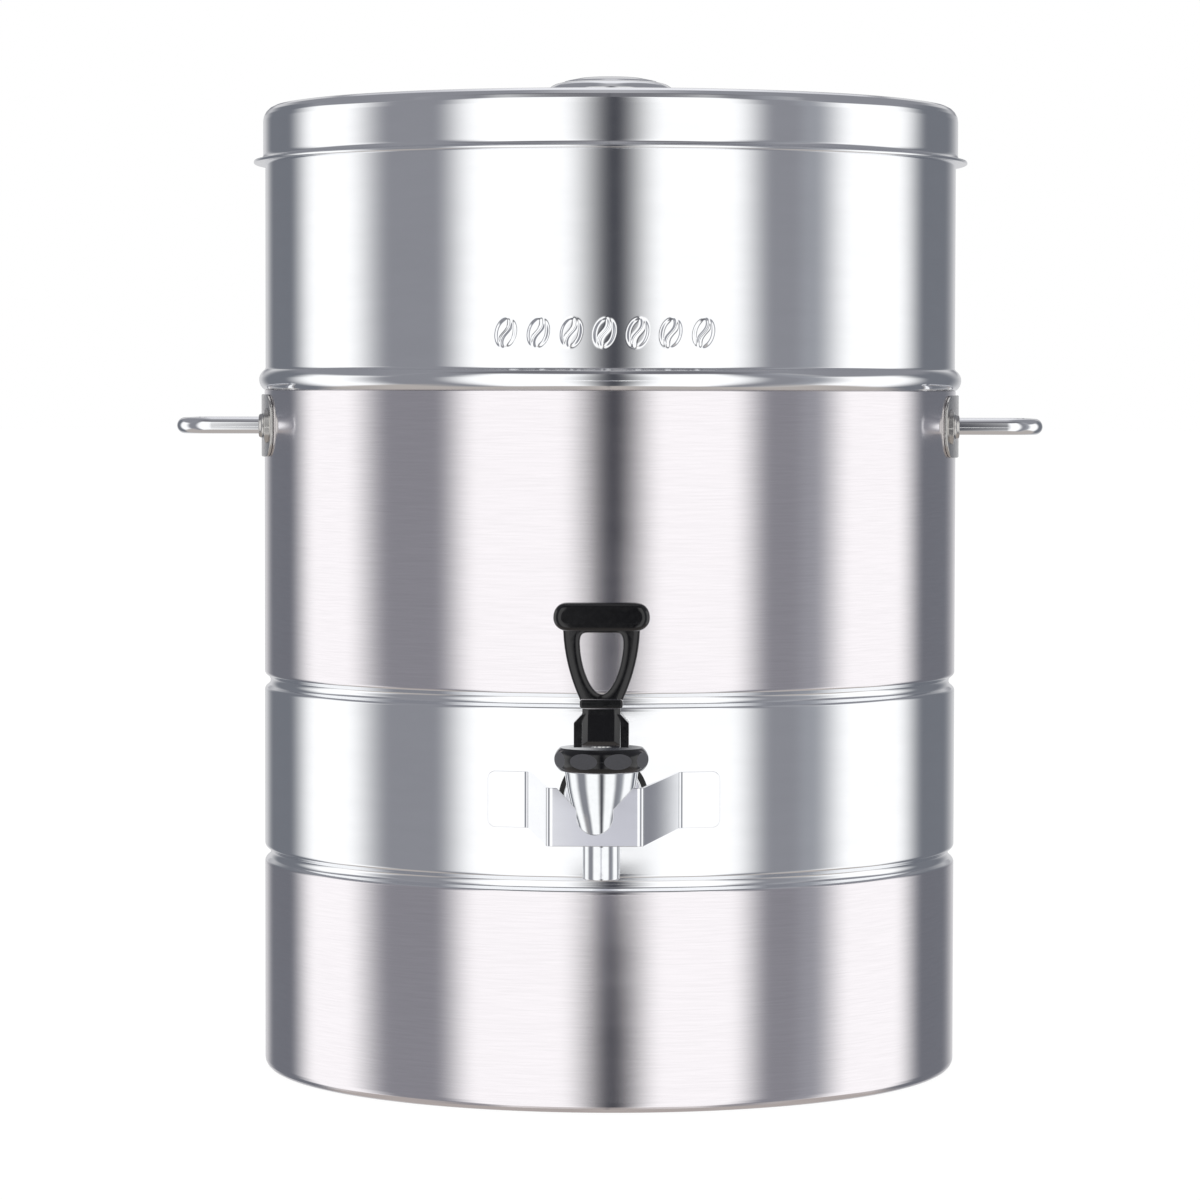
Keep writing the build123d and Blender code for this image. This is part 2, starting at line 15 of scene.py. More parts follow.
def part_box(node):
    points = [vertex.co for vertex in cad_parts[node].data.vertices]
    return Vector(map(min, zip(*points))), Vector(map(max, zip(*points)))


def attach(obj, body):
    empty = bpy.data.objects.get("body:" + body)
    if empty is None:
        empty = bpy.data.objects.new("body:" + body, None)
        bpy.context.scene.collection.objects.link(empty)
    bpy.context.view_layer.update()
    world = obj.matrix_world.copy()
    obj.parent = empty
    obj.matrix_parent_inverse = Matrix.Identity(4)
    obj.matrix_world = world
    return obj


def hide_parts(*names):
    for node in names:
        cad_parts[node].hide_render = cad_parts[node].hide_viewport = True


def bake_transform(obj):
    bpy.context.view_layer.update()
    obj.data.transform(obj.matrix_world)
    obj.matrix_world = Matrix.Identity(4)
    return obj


bl_info = {
    "name": "Coffee urn",
    "version": (1, 0, 0),
    "blender": (4, 5, 0),
    "location": "3D View > Sidebar > Urn",
    "description": "Builds the coffee urn's visible pieces, finishes and studio",
    "category": "Object",
}

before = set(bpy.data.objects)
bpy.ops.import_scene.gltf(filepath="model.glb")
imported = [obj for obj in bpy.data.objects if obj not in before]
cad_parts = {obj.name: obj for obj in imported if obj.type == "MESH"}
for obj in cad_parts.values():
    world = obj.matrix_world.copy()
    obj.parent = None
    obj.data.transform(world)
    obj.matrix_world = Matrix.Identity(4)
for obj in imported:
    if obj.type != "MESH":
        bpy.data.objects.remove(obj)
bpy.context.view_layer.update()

MM = 0.001
WELD = 0.001 * MM
SHARP_ANGLE = radians(34)


def low(node):
    """Lowest corner of a CAD node."""
    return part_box(node)[0]


def high(node):
    """Highest corner of a CAD node."""
    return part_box(node)[1]


def middle(node):
    """Middle of a CAD node's box."""
    return (low(node) + high(node)) / 2


# ---------------------------------------------------------------- properties
def length(name, millimetres, description):
    """A length property, its default in millimetres."""
    return FloatProperty(
        name=name, description=description, default=millimetres * MM, unit="LENGTH", subtype="DISTANCE"
    )


def turn(name, angle, description):
    """An angle property, its default in degrees."""
    return FloatProperty(
        name=name, description=description, default=radians(angle), unit="ROTATION", subtype="ANGLE"
    )


def linear(hex_colour):
    """Linear red, green, blue and opacity of an sRGB hex colour."""
    channels = [int(hex_colour[start : start + 2], 16) / 255 for start in (1, 3, 5)]
    return (*(c / 12.92 if c <= 0.04045 else ((c + 0.055) / 1.055) ** 2.4 for c in channels), 1.0)


def colour(name, hex_colour, description):
    """A colour property, its default an sRGB hex colour."""
    return FloatVectorProperty(
        name=name, description=description, default=linear(hex_colour), subtype="COLOR", size=4, min=0, max=1
    )


class UrnSizes(bpy.types.PropertyGroup):
    """Sizes of the forms that the frame's boxes don't give."""

    sheet: length("Sheet", 1.0, "Thickness of the vessels' walls")
    edge_round: length("Edge rounding", 0.35, "Rounding of a cut sheet edge")
    foot_corner: length("Foot corner", 4.0, "Outer radius where the wall turns in to its foot")
    foot_lip: length("Foot lip", 12.0, "How far the foot turns in past its corner")
    groove_mouth: length("Groove mouth", 6.0, "Height of a swaged groove at the wall")
    groove_bed: length("Groove bed", 2.2, "Height of a groove at its bottom")
    groove_depth: length("Groove depth", 2.3, "How far a groove goes in")
    groove_shoulder: length("Groove shoulder", 1.7, "Rounding at a groove's mouth")
    groove_root: length("Groove root", 2.2, "Rounding at a groove's bed")
    floor_gap: length("Floor gap", 0.05, "Gap between the groove and the raised floor's flange")
    upper_groove: length("Upper groove height", 157.1, "Height of the upper groove's middle")
    lower_groove: length("Lower groove height", 87.4, "Height of the lower groove's middle")
    seam_rise: length("Seam rise", 1.1, "How far the seam under the bead sits above the CAD wall's rim")
    bead_round: length("Bead radius", 4.8, "Radius of the rolled bead's section")
    bead_fillet: length("Bead fillet", 1.4, "Rounding where the bead meets the wall above")
    upper_step: length("Upper step", 0.4, "How far the upper vessel's wall stands in from the lower one's")
    slip_fit: length("Slip fit", 0.35, "Gap between the spigot and the lower vessel's wall")
    ledge: length("Ledge", 8.0, "Width of the ledge that carries the filter plate")
    lid_corner: length("Lid corner", 6.0, "Outer radius between the lid's top and its skirt")
    lid_flare: length("Lid flare", 3.0, "Height over which the skirt flares to its flange")
    lid_sheet: length("Lid sheet", 0.6, "Thickness of the lid")
    lid_hem: length("Lid hem", 1.4, "Thickness of the flange where its edge is folded back")
    lid_flange: length("Lid flange", 3.8, "How far the lid's flange stands out of its skirt")
    lid_hole: length("Lid hole", 2.8, "Radius of the hole for the knob's screw")
    knob_ring: length("Knob ring", 18.4, "Radius of the small step turned in the lid knob")
    bean_long: length("Bean length", 12.6, "Length of one embossed bean")
    bean_wide: length("Bean width", 8.6, "Width of one embossed bean")
    bean_step: length("Bean step", 12.6, "Distance between the middles of two beans")
    bean_rise: length("Bean rise", 0.9, "How far a bean stands out of the wall")
    bean_height: length("Bean row height", 296.0, "Height of the row of beans above the foot")
    bean_lean: turn("Bean lean", 14.0, "How far each bean leans to the side")
    bean_count: IntProperty(name="Beans", description="Number of beans in the row", default=7, min=1)
    handle_bend: length("Handle bend", 12.0, "Radius of the handle rod's bends along its middle line")
    handle_span: length("Handle span", 34.0, "From the handle's middle to the middle of its rod")
    handle_rod: length("Handle rod", 3.2, "Radius of the handle's rod")
    handle_short: length("Handle shortening", 2.4, "How far the rod's tip stays inside the CAD rod's")
    plate_sheet: length("Handle plate sheet", 1.2, "Thickness of a handle's backing plate")
    plate_corner: length("Handle plate corner", 10.0, "Corner radius of a handle's backing plate")
    plate_short: length("Handle plate shortening", 3.5, "How far a plate's ends stay inside the CAD plate's")
    boss_height: length("Boss height", 2.6, "How far a handle's boss stands out of its plate")
    tap_height: length("Tap height", 120.3, "Height of the tap's shank above the foot")
    tap_reach: length("Tap reach", 188.0, "From the urn's axis to the spout's axis")
    pin_height: length("Lever pin height", 149.4, "Height of the lever's pin above the foot")
    collar_height: length("Collar height", 10.1, "Middle of the lever's collar above its pin")


class UrnColours(bpy.types.PropertyGroup):
    """Colours of the finishes and of the studio."""

    mirror_steel: colour("Mirror steel", "#f4f5f7", "Polished stainless steel")
    brushed_steel: colour("Brushed steel", "#efebee", "Belt-brushed stainless steel")
    pressed_steel: colour("Pressed steel", "#cfcdca", "Pressed stainless steel")
    rolled_steel: colour("Rolled steel", "#dcdbda", "Cold-rolled stainless steel inside")
    chrome: colour("Chrome", "#eef0f2", "Bright chrome plate")
    drawn_steel: colour("Drawn steel", "#cfcfce", "Drawn bar and wire")
    black_plastic: colour("Black plastic", "#08080a", "Gloss black moulding")
    textured_plastic: colour("Textured plastic", "#37373c", "Textured finger flats of the ring nut")
    rubber: colour("Rubber", "#161617", "Black nitrile rubber")
    silicone: colour("Silicone", "#cbc5ba", "Pale silicone rubber")
    surround: colour("Surround", "#ffffff", "White surround of the studio")
    flag: colour("Flag", "#86878d", "Grey flag in the studio")
    pale_flag: colour("Pale flag", "#94969c", "Lighter edge of the right-hand grey flag")
    far_flag: colour("Far flag", "#6e7178", "Darker grey flag beside the urn")
    slit: colour("Slit", "#45464c", "Dark slit in front, between the two large white panels")
    back: colour("Back", "#c8c8ca", "Light grey back of the studio")
    # The card glows, and only reflections show it: card is its painted light grey middle, hood a painted dark
    # patch at the top of that middle.
    card: colour("Card", "#c4c4cc", "Middle of the low card in front of the tap")
    roof: colour("Roof", "#6c6c71", "Unlit upper part of the studio")
    zenith: colour("Zenith", "#a8a8ac", "Studio ceiling straight above")
    bright: colour("Bright back", "#e6e6ea", "Bright upper part of the studio's back")
    # Painted dark patch on the glowing card, which the lever's neck reflects.
    hood: colour("Hood", "#131315", "Dark top of the card's middle")
    floor_tone: colour("Table", "#aea8a4", "Table that the undersides reflect")
    floor: colour("Floor", "#f4f4f4", "Plain pale floor")


class UrnStudio(bpy.types.PropertyGroup):
    """Where the camera stands."""

    lens: FloatProperty(name="Lens", description="Focal length", default=141.5, unit="CAMERA")
    distance: length("Distance", 1918.0, "From the urn's axis to the camera")
    height: length("Height", 274.3, "Height of the camera above the foot")
    around: turn("Around", 0.9, "How far the camera stands to the right of the tap")
    aim: turn("Aim", 0.123, "How far the camera looks to the left of the urn's axis")
    pitch: turn("Pitch", 2.545, "How far the camera looks down")
    roll: turn("Roll", 0.1, "How far the camera leans to its left")


# ---------------------------------------------------------------- finishes
METAL = {"Metallic": 1.0}
# Noise seldom leaves this range, which is spread over the whole of a tint or a roughness.
NOISE_RANGE = {"From Min": 0.3, "From Max": 0.7}


def add_node(tree, kind, inputs=(), stops=(), **settings):
    """Add a node with its settings and its ramp's (position, colour) stops, and set or link its inputs."""
    node = tree.nodes.new(kind)
    for name, value in settings.items():
        setattr(node, name, value)
    for socket, value in dict(inputs).items():
        if isinstance(value, bpy.types.NodeSocket):
            tree.links.new(value, node.inputs[socket])
        else:
            node.inputs[socket].default_value = value
    if stops:
        node.color_ramp.interpolation = "EASE"
        while len(node.color_ramp.elements) < len(stops):
            node.color_ramp.elements.new(1.0)
        for element, (position, tone) in zip(node.color_ramp.elements, stops):
            element.position = position
            element.color = tone
    return node


def tinted(tree, base, pattern, shade):
    """A colour that a pattern darkens or lightens to a shade of itself."""
    share = add_node(tree, "ShaderNodeMapRange", {"Value": pattern, **NOISE_RANGE}).outputs["Result"]
    shaded = (*(channel * shade for channel in base[:3]), 1.0)
    return add_node(tree, "ShaderNodeMix", {0: share, 6: base, 7: shaded}, data_type="RGBA").outputs[2]


def worked(tree, base, shade, roughness, bump, grain, wear=None, waves=None, more=()):
    """A surface whose colour, roughness and bump follow noise patterns.

    A pattern gives the size of its grains in millimetres along X, Y and Z, its detail and its own
    roughness. The grain tints the base colour to a shade of itself. It also varies the roughness
    between two values and raises the bump, in millimetres, unless wear and waves take its place.
    """
    patterns = (grain, wear or grain, waves or grain)
    place = add_node(tree, "ShaderNodeTexCoord").outputs["Object"]
    noises = {}
    for size, detail, fine in dict.fromkeys(patterns):
        scale = tuple(1 / (side * MM) for side in size)
        stretched = add_node(tree, "ShaderNodeMapping", {"Vector": place, "Scale": scale}).outputs["Vector"]
        noises[size, detail, fine] = add_node(tree, "ShaderNodeTexNoise", {
            "Vector": stretched, "Scale": 1.0, "Detail": detail, "Roughness": fine,
        }).outputs["Fac"]
    tint, haze, relief = (noises[pattern] for pattern in patterns)
    lowest, highest = roughness
    rough = add_node(tree, "ShaderNodeMapRange", {
        "Value": haze, **NOISE_RANGE, "To Min": lowest, "To Max": highest,
    }).outputs["Result"]
    normal = add_node(tree, "ShaderNodeBump", {"Height": relief, "Distance": bump * MM}).outputs["Normal"]
    tone = tinted(tree, tuple(base), tint, shade)
    inputs = {"Base Color": tone, "Roughness": rough, "Normal": normal, **dict(more)}
    shader = add_node(tree, "ShaderNodeBsdfPrincipled", inputs).outputs["BSDF"]
    add_node(tree, "ShaderNodeOutputMaterial", {"Surface": shader})


def mirror_polished_stainless(tree, colours):
    """18/8 stainless sheet, buffed: clear reflections with a faint haze and buffing waves."""
    worked(
        tree, colours.mirror_steel, shade=0.97, roughness=(0.05, 0.08), bump=0.003,
        grain=((30, 30, 6), 3.0, 0.5), waves=((24, 24, 9), 1.0, 0.5), more=METAL,
    )


def belt_brushed_stainless(tree, colours):
    """18/8 stainless sheet, brushed round by a belt: reflections smear up and down, with fine level lines."""
    tangent = add_node(tree, "ShaderNodeTangent", direction_type="RADIAL", axis="Z").outputs["Tangent"]
    # A 180-grit belt leaves lines about 0.1 mm apart, drawn here 0.5 mm apart so that they show.
    worked(
        tree, colours.brushed_steel, shade=0.94, roughness=(0.11, 0.14), bump=0.0015,
        grain=((16, 16, 0.5), 3.0, 0.6), wear=((60, 60, 12), 2.0, 0.5),
        more={**METAL, "Anisotropic": 0.9, "Anisotropic Rotation": 0.25, "Tangent": tangent},
    )


def cold_rolled_stainless(tree, colours):
    """Cold-rolled stainless sheet as it comes from the mill: a soft silky grey with spinning lines."""
    worked(
        tree, colours.rolled_steel, shade=0.92, roughness=(0.27, 0.36), bump=0.01,
        grain=((3, 3, 0.8), 3.0, 0.5), more=METAL,
    )


def pressed_stainless(tree, colours):
    """18/8 stainless sheet as it leaves the press: a soft shine, duller than the buffed wall."""
    worked(
        tree, colours.pressed_steel, shade=0.93, roughness=(0.16, 0.24), bump=0.006,
        grain=((2, 2, 2), 3.0, 0.5), more=METAL,
    )


def bright_chrome_plate(tree, colours):
    """Chrome over nickel on cast brass: crisp dark and light reflections, a little orange peel."""
    worked(
        tree, colours.chrome, shade=0.97, roughness=(0.04, 0.08), bump=0.006,
        grain=((2.2, 2.2, 2.2), 1.0, 0.5), more=METAL,
    )


def drawn_steel(tree, colours):
    """Drawn stainless bar and wire: satin, with faint lines along the draw."""
    worked(
        tree, colours.drawn_steel, shade=0.85, roughness=(0.2, 0.34), bump=0.01,
        grain=((0.4, 0.4, 12), 3.0, 0.5), more=METAL,
    )


def gloss_black_moulding(tree, colours):
    """Injection-moulded black ABS: deep gloss with slight sink waves and handling haze."""
    worked(
        tree, colours.black_plastic, shade=1.6, roughness=(0.09, 0.17), bump=0.008,
        grain=((1.6, 1.6, 1.6), 3.0, 0.5), waves=((6, 6, 6), 1.0, 0.5),
        more={"IOR": 1.54, "Specular IOR Level": 0.4, "Coat Weight": 0.2, "Coat Roughness": 0.05},
    )


def spark_textured_moulding(tree, colours):
    """Injection-moulded black ABS from a spark-textured part of the mould: a fine grey satin grain."""
    worked(
        tree, colours.textured_plastic, shade=1.3, roughness=(0.3, 0.42), bump=0.01,
        grain=((0.6, 0.6, 0.6), 3.0, 0.5), more={"IOR": 1.54},
    )


def nitrile_rubber(tree, colours):
    """Moulded nitrile rubber: matt black with a fine dusty grain."""
    worked(
        tree, colours.rubber, shade=1.8, roughness=(0.5, 0.7), bump=0.03,
        grain=((0.5, 0.5, 0.5), 4.0, 0.5), more={"IOR": 1.52},
    )


def pale_silicone(tree, colours):
    """Moulded silicone rubber: milky, soft sheen, light scattering just under the skin."""
    worked(
        tree, colours.silicone, shade=0.9, roughness=(0.4, 0.55), bump=0.01,
        grain=((2, 2, 2), 2.0, 0.5),
        more={"IOR": 1.41, "Subsurface Weight": 0.2, "Subsurface Scale": 0.8 * MM},
    )


def floor_paint(tree, colours):
    """Matt pale studio floor. Seen directly it is nearly white, and it keeps a faint shadow."""
    place = add_node(tree, "ShaderNodeTexCoord").outputs["Object"]
    speckle = add_node(tree, "ShaderNodeTexNoise", {"Vector": place, "Scale": 1 / (40 * MM)}).outputs["Fac"]
    tone = tinted(tree, tuple(colours.floor), speckle, 0.995)
    paint = add_node(tree, "ShaderNodeBsdfDiffuse", {"Color": tone}).outputs[0]
    white = add_node(tree, "ShaderNodeEmission", {"Color": colours.surround, "Strength": 1.05}).outputs[0]
    seen = add_node(tree, "ShaderNodeMixShader", {0: 0.9, 1: paint, 2: white}).outputs[0]
    direct = add_node(tree, "ShaderNodeLightPath").outputs["Is Camera Ray"]
    top = add_node(tree, "ShaderNodeMixShader", {0: direct, 1: paint, 2: seen}).outputs[0]
    clear = add_node(tree, "ShaderNodeBsdfTransparent").outputs[0]
    below = add_node(tree, "ShaderNodeNewGeometry").outputs["Backfacing"]
    both = add_node(tree, "ShaderNodeMixShader", {0: below, 1: top, 2: clear}).outputs[0]
    add_node(tree, "ShaderNodeOutputMaterial", {"Surface": both})


def paper_card(tree, colours):
    """Glowing card that only reflections show, its tones painted: light grey in its middle, white towards its
    ends, and a painted dark patch at the top of its middle.
    """
    place = add_node(tree, "ShaderNodeTexCoord").outputs["Object"]
    axes = add_node(tree, "ShaderNodeSeparateXYZ", {"Vector": place}).outputs
    reach = add_node(tree, "ShaderNodeMath", {0: axes["X"]}, operation="ABSOLUTE").outputs[0]
    ends = add_node(tree, "ShaderNodeMapRange", {
        "Value": reach, "From Min": 20 * MM, "From Max": 90 * MM,
    }).outputs["Result"]
    # The lever's neck reflects the top of the card's middle, where the painted dark patch lies.
    top = add_node(tree, "ShaderNodeMapRange", {
        "Value": axes["Z"], "From Min": 54 * MM, "From Max": 62 * MM,
    }).outputs["Result"]
    inner = add_node(tree, "ShaderNodeMapRange", {
        "Value": reach, "From Min": 70 * MM, "From Max": 100 * MM, "To Min": 1.0, "To Max": 0.0,
    }).outputs["Result"]
    hooded = add_node(tree, "ShaderNodeMath", {0: top, 1: inner}, operation="MULTIPLY").outputs[0]
    tone = colours.card
    for share, other in ((ends, colours.surround), (hooded, colours.hood)):
        tone = add_node(tree, "ShaderNodeMix", {0: share, 6: tone, 7: other}, data_type="RGBA").outputs[2]
    card_glow = add_node(tree, "ShaderNodeEmission", {"Color": tone, "Strength": CARD_STRENGTH}).outputs[0]
    add_node(tree, "ShaderNodeOutputMaterial", {"Surface": card_glow})


FINISHES = {
    finish.__name__: finish
    for finish in (
        mirror_polished_stainless,
        belt_brushed_stainless,
        cold_rolled_stainless,
        pressed_stainless,
        bright_chrome_plate,
        drawn_steel,
        gloss_black_moulding,
        spark_textured_moulding,
        nitrile_rubber,
        pale_silicone,
        floor_paint,
        paper_card,
    )
}


def finish(name):
    """The material of that name, made the first time it is asked for."""
    material = bpy.data.materials.get(name)
    if material is None:
        material = bpy.data.materials.new(name)
        material.use_nodes = True
        material.node_tree.nodes.clear()
        FINISHES[name](material.node_tree, bpy.context.scene.urn_colours)
    return material


# ---------------------------------------------------------------- modelling
ROUND_STEPS = 5
TURN_STEPS = 256
SMALL_TURN_STEPS = 96


def wire(bm, corners, steps=ROUND_STEPS):
    """Closed outline in the XZ plane through (x, z, rounding) corners, each rounded to its radius."""
    points = [bm.verts.new((x, 0, z)) for x, z, _ in corners]
    for start, end in zip(points, points[1:] + points[:1]):
        bm.edges.new((start, end))
    for point, (_, _, rounding) in zip(points, corners):
        if rounding:
            to_back, to_front = (edge.other_vert(point).co - point.co for edge in point.link_edges)
            half_turn = (pi - to_back.angle(to_front)) / 2
            bmesh.ops.bevel(
                bm, geom=[point], offset=rounding * tan(half_turn), offset_type="OFFSET",
                segments=steps, profile=0.5, affect="VERTICES", material=-1,
            )


def hold(bm, reach):
    """Put a point near each end of every long edge, so that a flat stays flat up to its rounding."""
    for edge in [edge for edge in bm.edges if edge.calc_length() > 4 * reach]:
        start, end = edge.verts
        size = edge.calc_length()
        bmesh.utils.edge_split(edge, start, reach / size)
        bmesh.utils.edge_split(edge, end, reach / (size - reach))


def metres(corners, rise=0.0):
    """Corners given in millimetres, raised by a height in metres."""
    return [(across * MM, up * MM + rise, rounding * MM) for across, up, rounding in corners]


def turned(corners, steps=TURN_STEPS, axis=(0, 0), grip=0.3 * MM, round_steps=ROUND_STEPS):
    """A closed outline of (radius, height, rounding) corners, turned about a vertical axis at (x, y)."""
    bm = bmesh.new()
    wire(bm, corners, round_steps)
    hold(bm, grip)
    bmesh.ops.spin(
        bm, geom=bm.verts[:] + bm.edges[:], cent=(0, 0, 0), axis=(0, 0, 1), dvec=(0, 0, 0),
        angle=2 * pi, steps=steps, use_merge=True, use_normal_flip=False, use_duplicate=False,
    )
    bmesh.ops.translate(bm, verts=bm.verts, vec=(*axis, 0))
    return closed(bm)


def closed(bm):
    """Weld a mesh's doubles and turn its faces outwards."""
    bmesh.ops.remove_doubles(bm, verts=bm.verts, dist=WELD)
    bmesh.ops.dissolve_degenerate(bm, dist=WELD, edges=bm.edges)
    bmesh.ops.recalc_face_normals(bm, faces=bm.faces)
    return bm


def copied(node):
    """A welded copy of a CAD node's mesh, with its flats made whole again."""
    bm = bmesh.new()
    bm.from_mesh(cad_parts[node].data)
    bmesh.ops.remove_doubles(bm, verts=bm.verts, dist=WELD)
    bmesh.ops.dissolve_limit(bm, angle_limit=radians(1), verts=bm.verts, edges=bm.edges)
    return bm


def soften(bm, width, segments=3, sharp=radians(25)):
    """Round every edge sharper than an angle."""
    edges = [edge for edge in bm.edges if edge.is_manifold and edge.calc_face_angle() > sharp]
    bmesh.ops.bevel(
        bm, geom=edges, offset=width, offset_type="OFFSET", segments=segments, profile=0.5,
        affect="EDGES", clamp_overlap=True, material=-1,
    )
    return bm


def absorb(bm, other, place):
    """Add another bmesh, placed by a matrix, as a shell of its own."""
    mesh = bpy.data.meshes.new("absorbed")
    other.to_mesh(mesh)
    other.free()
    mesh.transform(place)
    bm.from_mesh(mesh)
    bpy.data.meshes.remove(mesh)


def sliced(bm, point, normal, clear=False):
    """Cut a bmesh by a plane. With clear, drop what lies beyond it and close the cut."""
    cut = bmesh.ops.bisect_plane(
        bm, geom=bm.verts[:] + bm.edges[:] + bm.faces[:], dist=WELD, plane_co=point, plane_no=normal,
        clear_outer=clear,
    )["geom_cut"]
    if clear:
        bmesh.ops.edgeloop_fill(bm, edges=[part for part in cut if isinstance(part, bmesh.types.BMEdge)])


def slab(bm, outlines, half_depth, rounding, place):
    """Add a plate with rounded edges, through Bezier outlines of (point, handle before, handle after).

    Each outline gives its right half from the bottom up, in millimetres across and up; the left
    half mirrors it. The plate stands in the XZ plane at place, half_depth thick to each side.
    """
    curve = bpy.data.curves.new("slab", "CURVE")
    curve.dimensions = "2D"
    curve.fill_mode = "BOTH"
    curve.resolution_u = 10
    curve.extrude = half_depth - rounding
    curve.bevel_depth = rounding
    curve.bevel_resolution = 4
    curve.offset = -rounding
    for half, way in outlines:
        left = [((-x, z), (-ax, az), (-bx, bz)) for (x, z), (bx, bz), (ax, az) in reversed(half) if x]
        spline = curve.splines.new("BEZIER")
        spline.bezier_points.add(len(half) + len(left) - 1)
        spline.use_cyclic_u = True
        for point, (knot, before, after) in zip(spline.bezier_points, (list(half) + left)[::way]):
            before, after = (before, after)[::way]
            point.handle_left_type = point.handle_right_type = "FREE"
            point.co = (knot[0] * MM, knot[1] * MM, 0)
            point.handle_left = (before[0] * MM, before[1] * MM, 0)
            point.handle_right = (after[0] * MM, after[1] * MM, 0)
    shape = bpy.data.objects.new("slab", curve)
    mesh = bpy.data.meshes.new_from_object(shape)
    mesh.transform(Matrix.Translation(place) @ Matrix.Rotation(radians(90), 4, "X"))
    bm.from_mesh(mesh)
    bpy.data.objects.remove(shape)
    bpy.data.curves.remove(curve)
    bpy.data.meshes.remove(mesh)


def outward(face):
    """Whether a wall's face looks away from the urn's axis."""
    centre = face.calc_center_median()
    return face.normal.dot(Vector((centre.x, centre.y, 0))) > 0


def add_object(name, bm, finishes):
    """Make a bmesh an object of the scene, with its finishes."""
    mesh = bpy.data.meshes.new(name)
    bm.to_mesh(mesh)
    bm.free()
    for finish_name in finishes:
        mesh.materials.append(finish(finish_name))
    made = bpy.data.objects.new(name, mesh)
    bpy.context.scene.collection.objects.link(made)
    return made


def make_piece(name, bm, body, finishes, replaced=(), sharp=SHARP_ANGLE, flats=False):
    """Make a bmesh a finished piece that rides on a CAD body, or on none."""
    for face in bm.faces:
        face.smooth = True
    piece = add_object(name, bm, finishes)
    piece.data.set_sharp_from_angle(angle=sharp)
    # Polished steel leaves the tap out of what it reflects, so that its stripes stay clean.
    piece.visible_glossy = not name.startswith("tap_")
    if flats:
        # Large faces rule the shading at their corners, so that flats reflect as flats.
        piece.modifiers.new("flats", "WEIGHTED_NORMAL").keep_sharp = True
    if body:
        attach(piece, body)
    if replaced:
        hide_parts(*replaced)
    return piece


def around(centre, radius, start, end):
    """Corner whose rounding runs round a circle of (radius, height) centre between two angles."""
    half = (end - start) / 2
    reach = radius / cos(half)
    return (centre[0] + reach * cos(start + half), centre[1] + reach * sin(start + half), radius)


# ---------------------------------------------------------------- pieces
def groove(sizes, wall, height):
    """Corners of a swaged groove in a wall, from its lower edge to its upper one."""
    bed = wall - sizes.groove_depth
    mouth = sizes.groove_mouth / 2
    flat = sizes.groove_bed / 2
    return [
        (wall, height - mouth, sizes.groove_shoulder),
        (bed, height - flat, sizes.groove_root),
        (bed, height + flat, sizes.groove_root),
        (wall, height + mouth, sizes.groove_shoulder),
    ]


class URN_OT_lower_vessel(bpy.types.Operator):
    """Turn the lower vessel's wall with its two grooves and its in-turned foot"""

    bl_idname = "urn.lower_vessel"
    bl_label = "Lower vessel"

    def execute(self, context):
        sizes = context.scene.urn_sizes
        wall = high("lower_shell").x
        inside = wall - sizes.sheet
        top = high("lower_shell").z + sizes.seam_rise - sizes.floor_gap
        lip = wall - sizes.foot_corner - sizes.foot_lip
        lower, upper = sizes.lower_groove, sizes.upper_groove
        edge = sizes.edge_round
        corners = [(lip, 0, edge), (wall, 0, sizes.foot_corner)]
        corners += groove(sizes, wall, lower) + groove(sizes, wall, upper)
        corners += [(wall, top, edge), (inside, top, edge)]
        corners += (groove(sizes, inside, lower) + groove(sizes, inside, upper))[::-1]
        corners += [(inside, sizes.sheet, sizes.foot_corner - sizes.sheet), (lip, sizes.sheet, edge)]
        bm = turned(corners)
        finishes = ("belt_brushed_stainless", "mirror_polished_stainless", "cold_rolled_stainless")
        mouth = sizes.groove_mouth / 2
        for face in bm.faces:
            banded = lower - mouth < face.calc_center_median().z < upper + mouth
            face.material_index = int(banded) if outward(face) else 2
        make_piece("lower_vessel_wall", bm, "urn", finishes, ("lower_shell",))
        return {"FINISHED"}


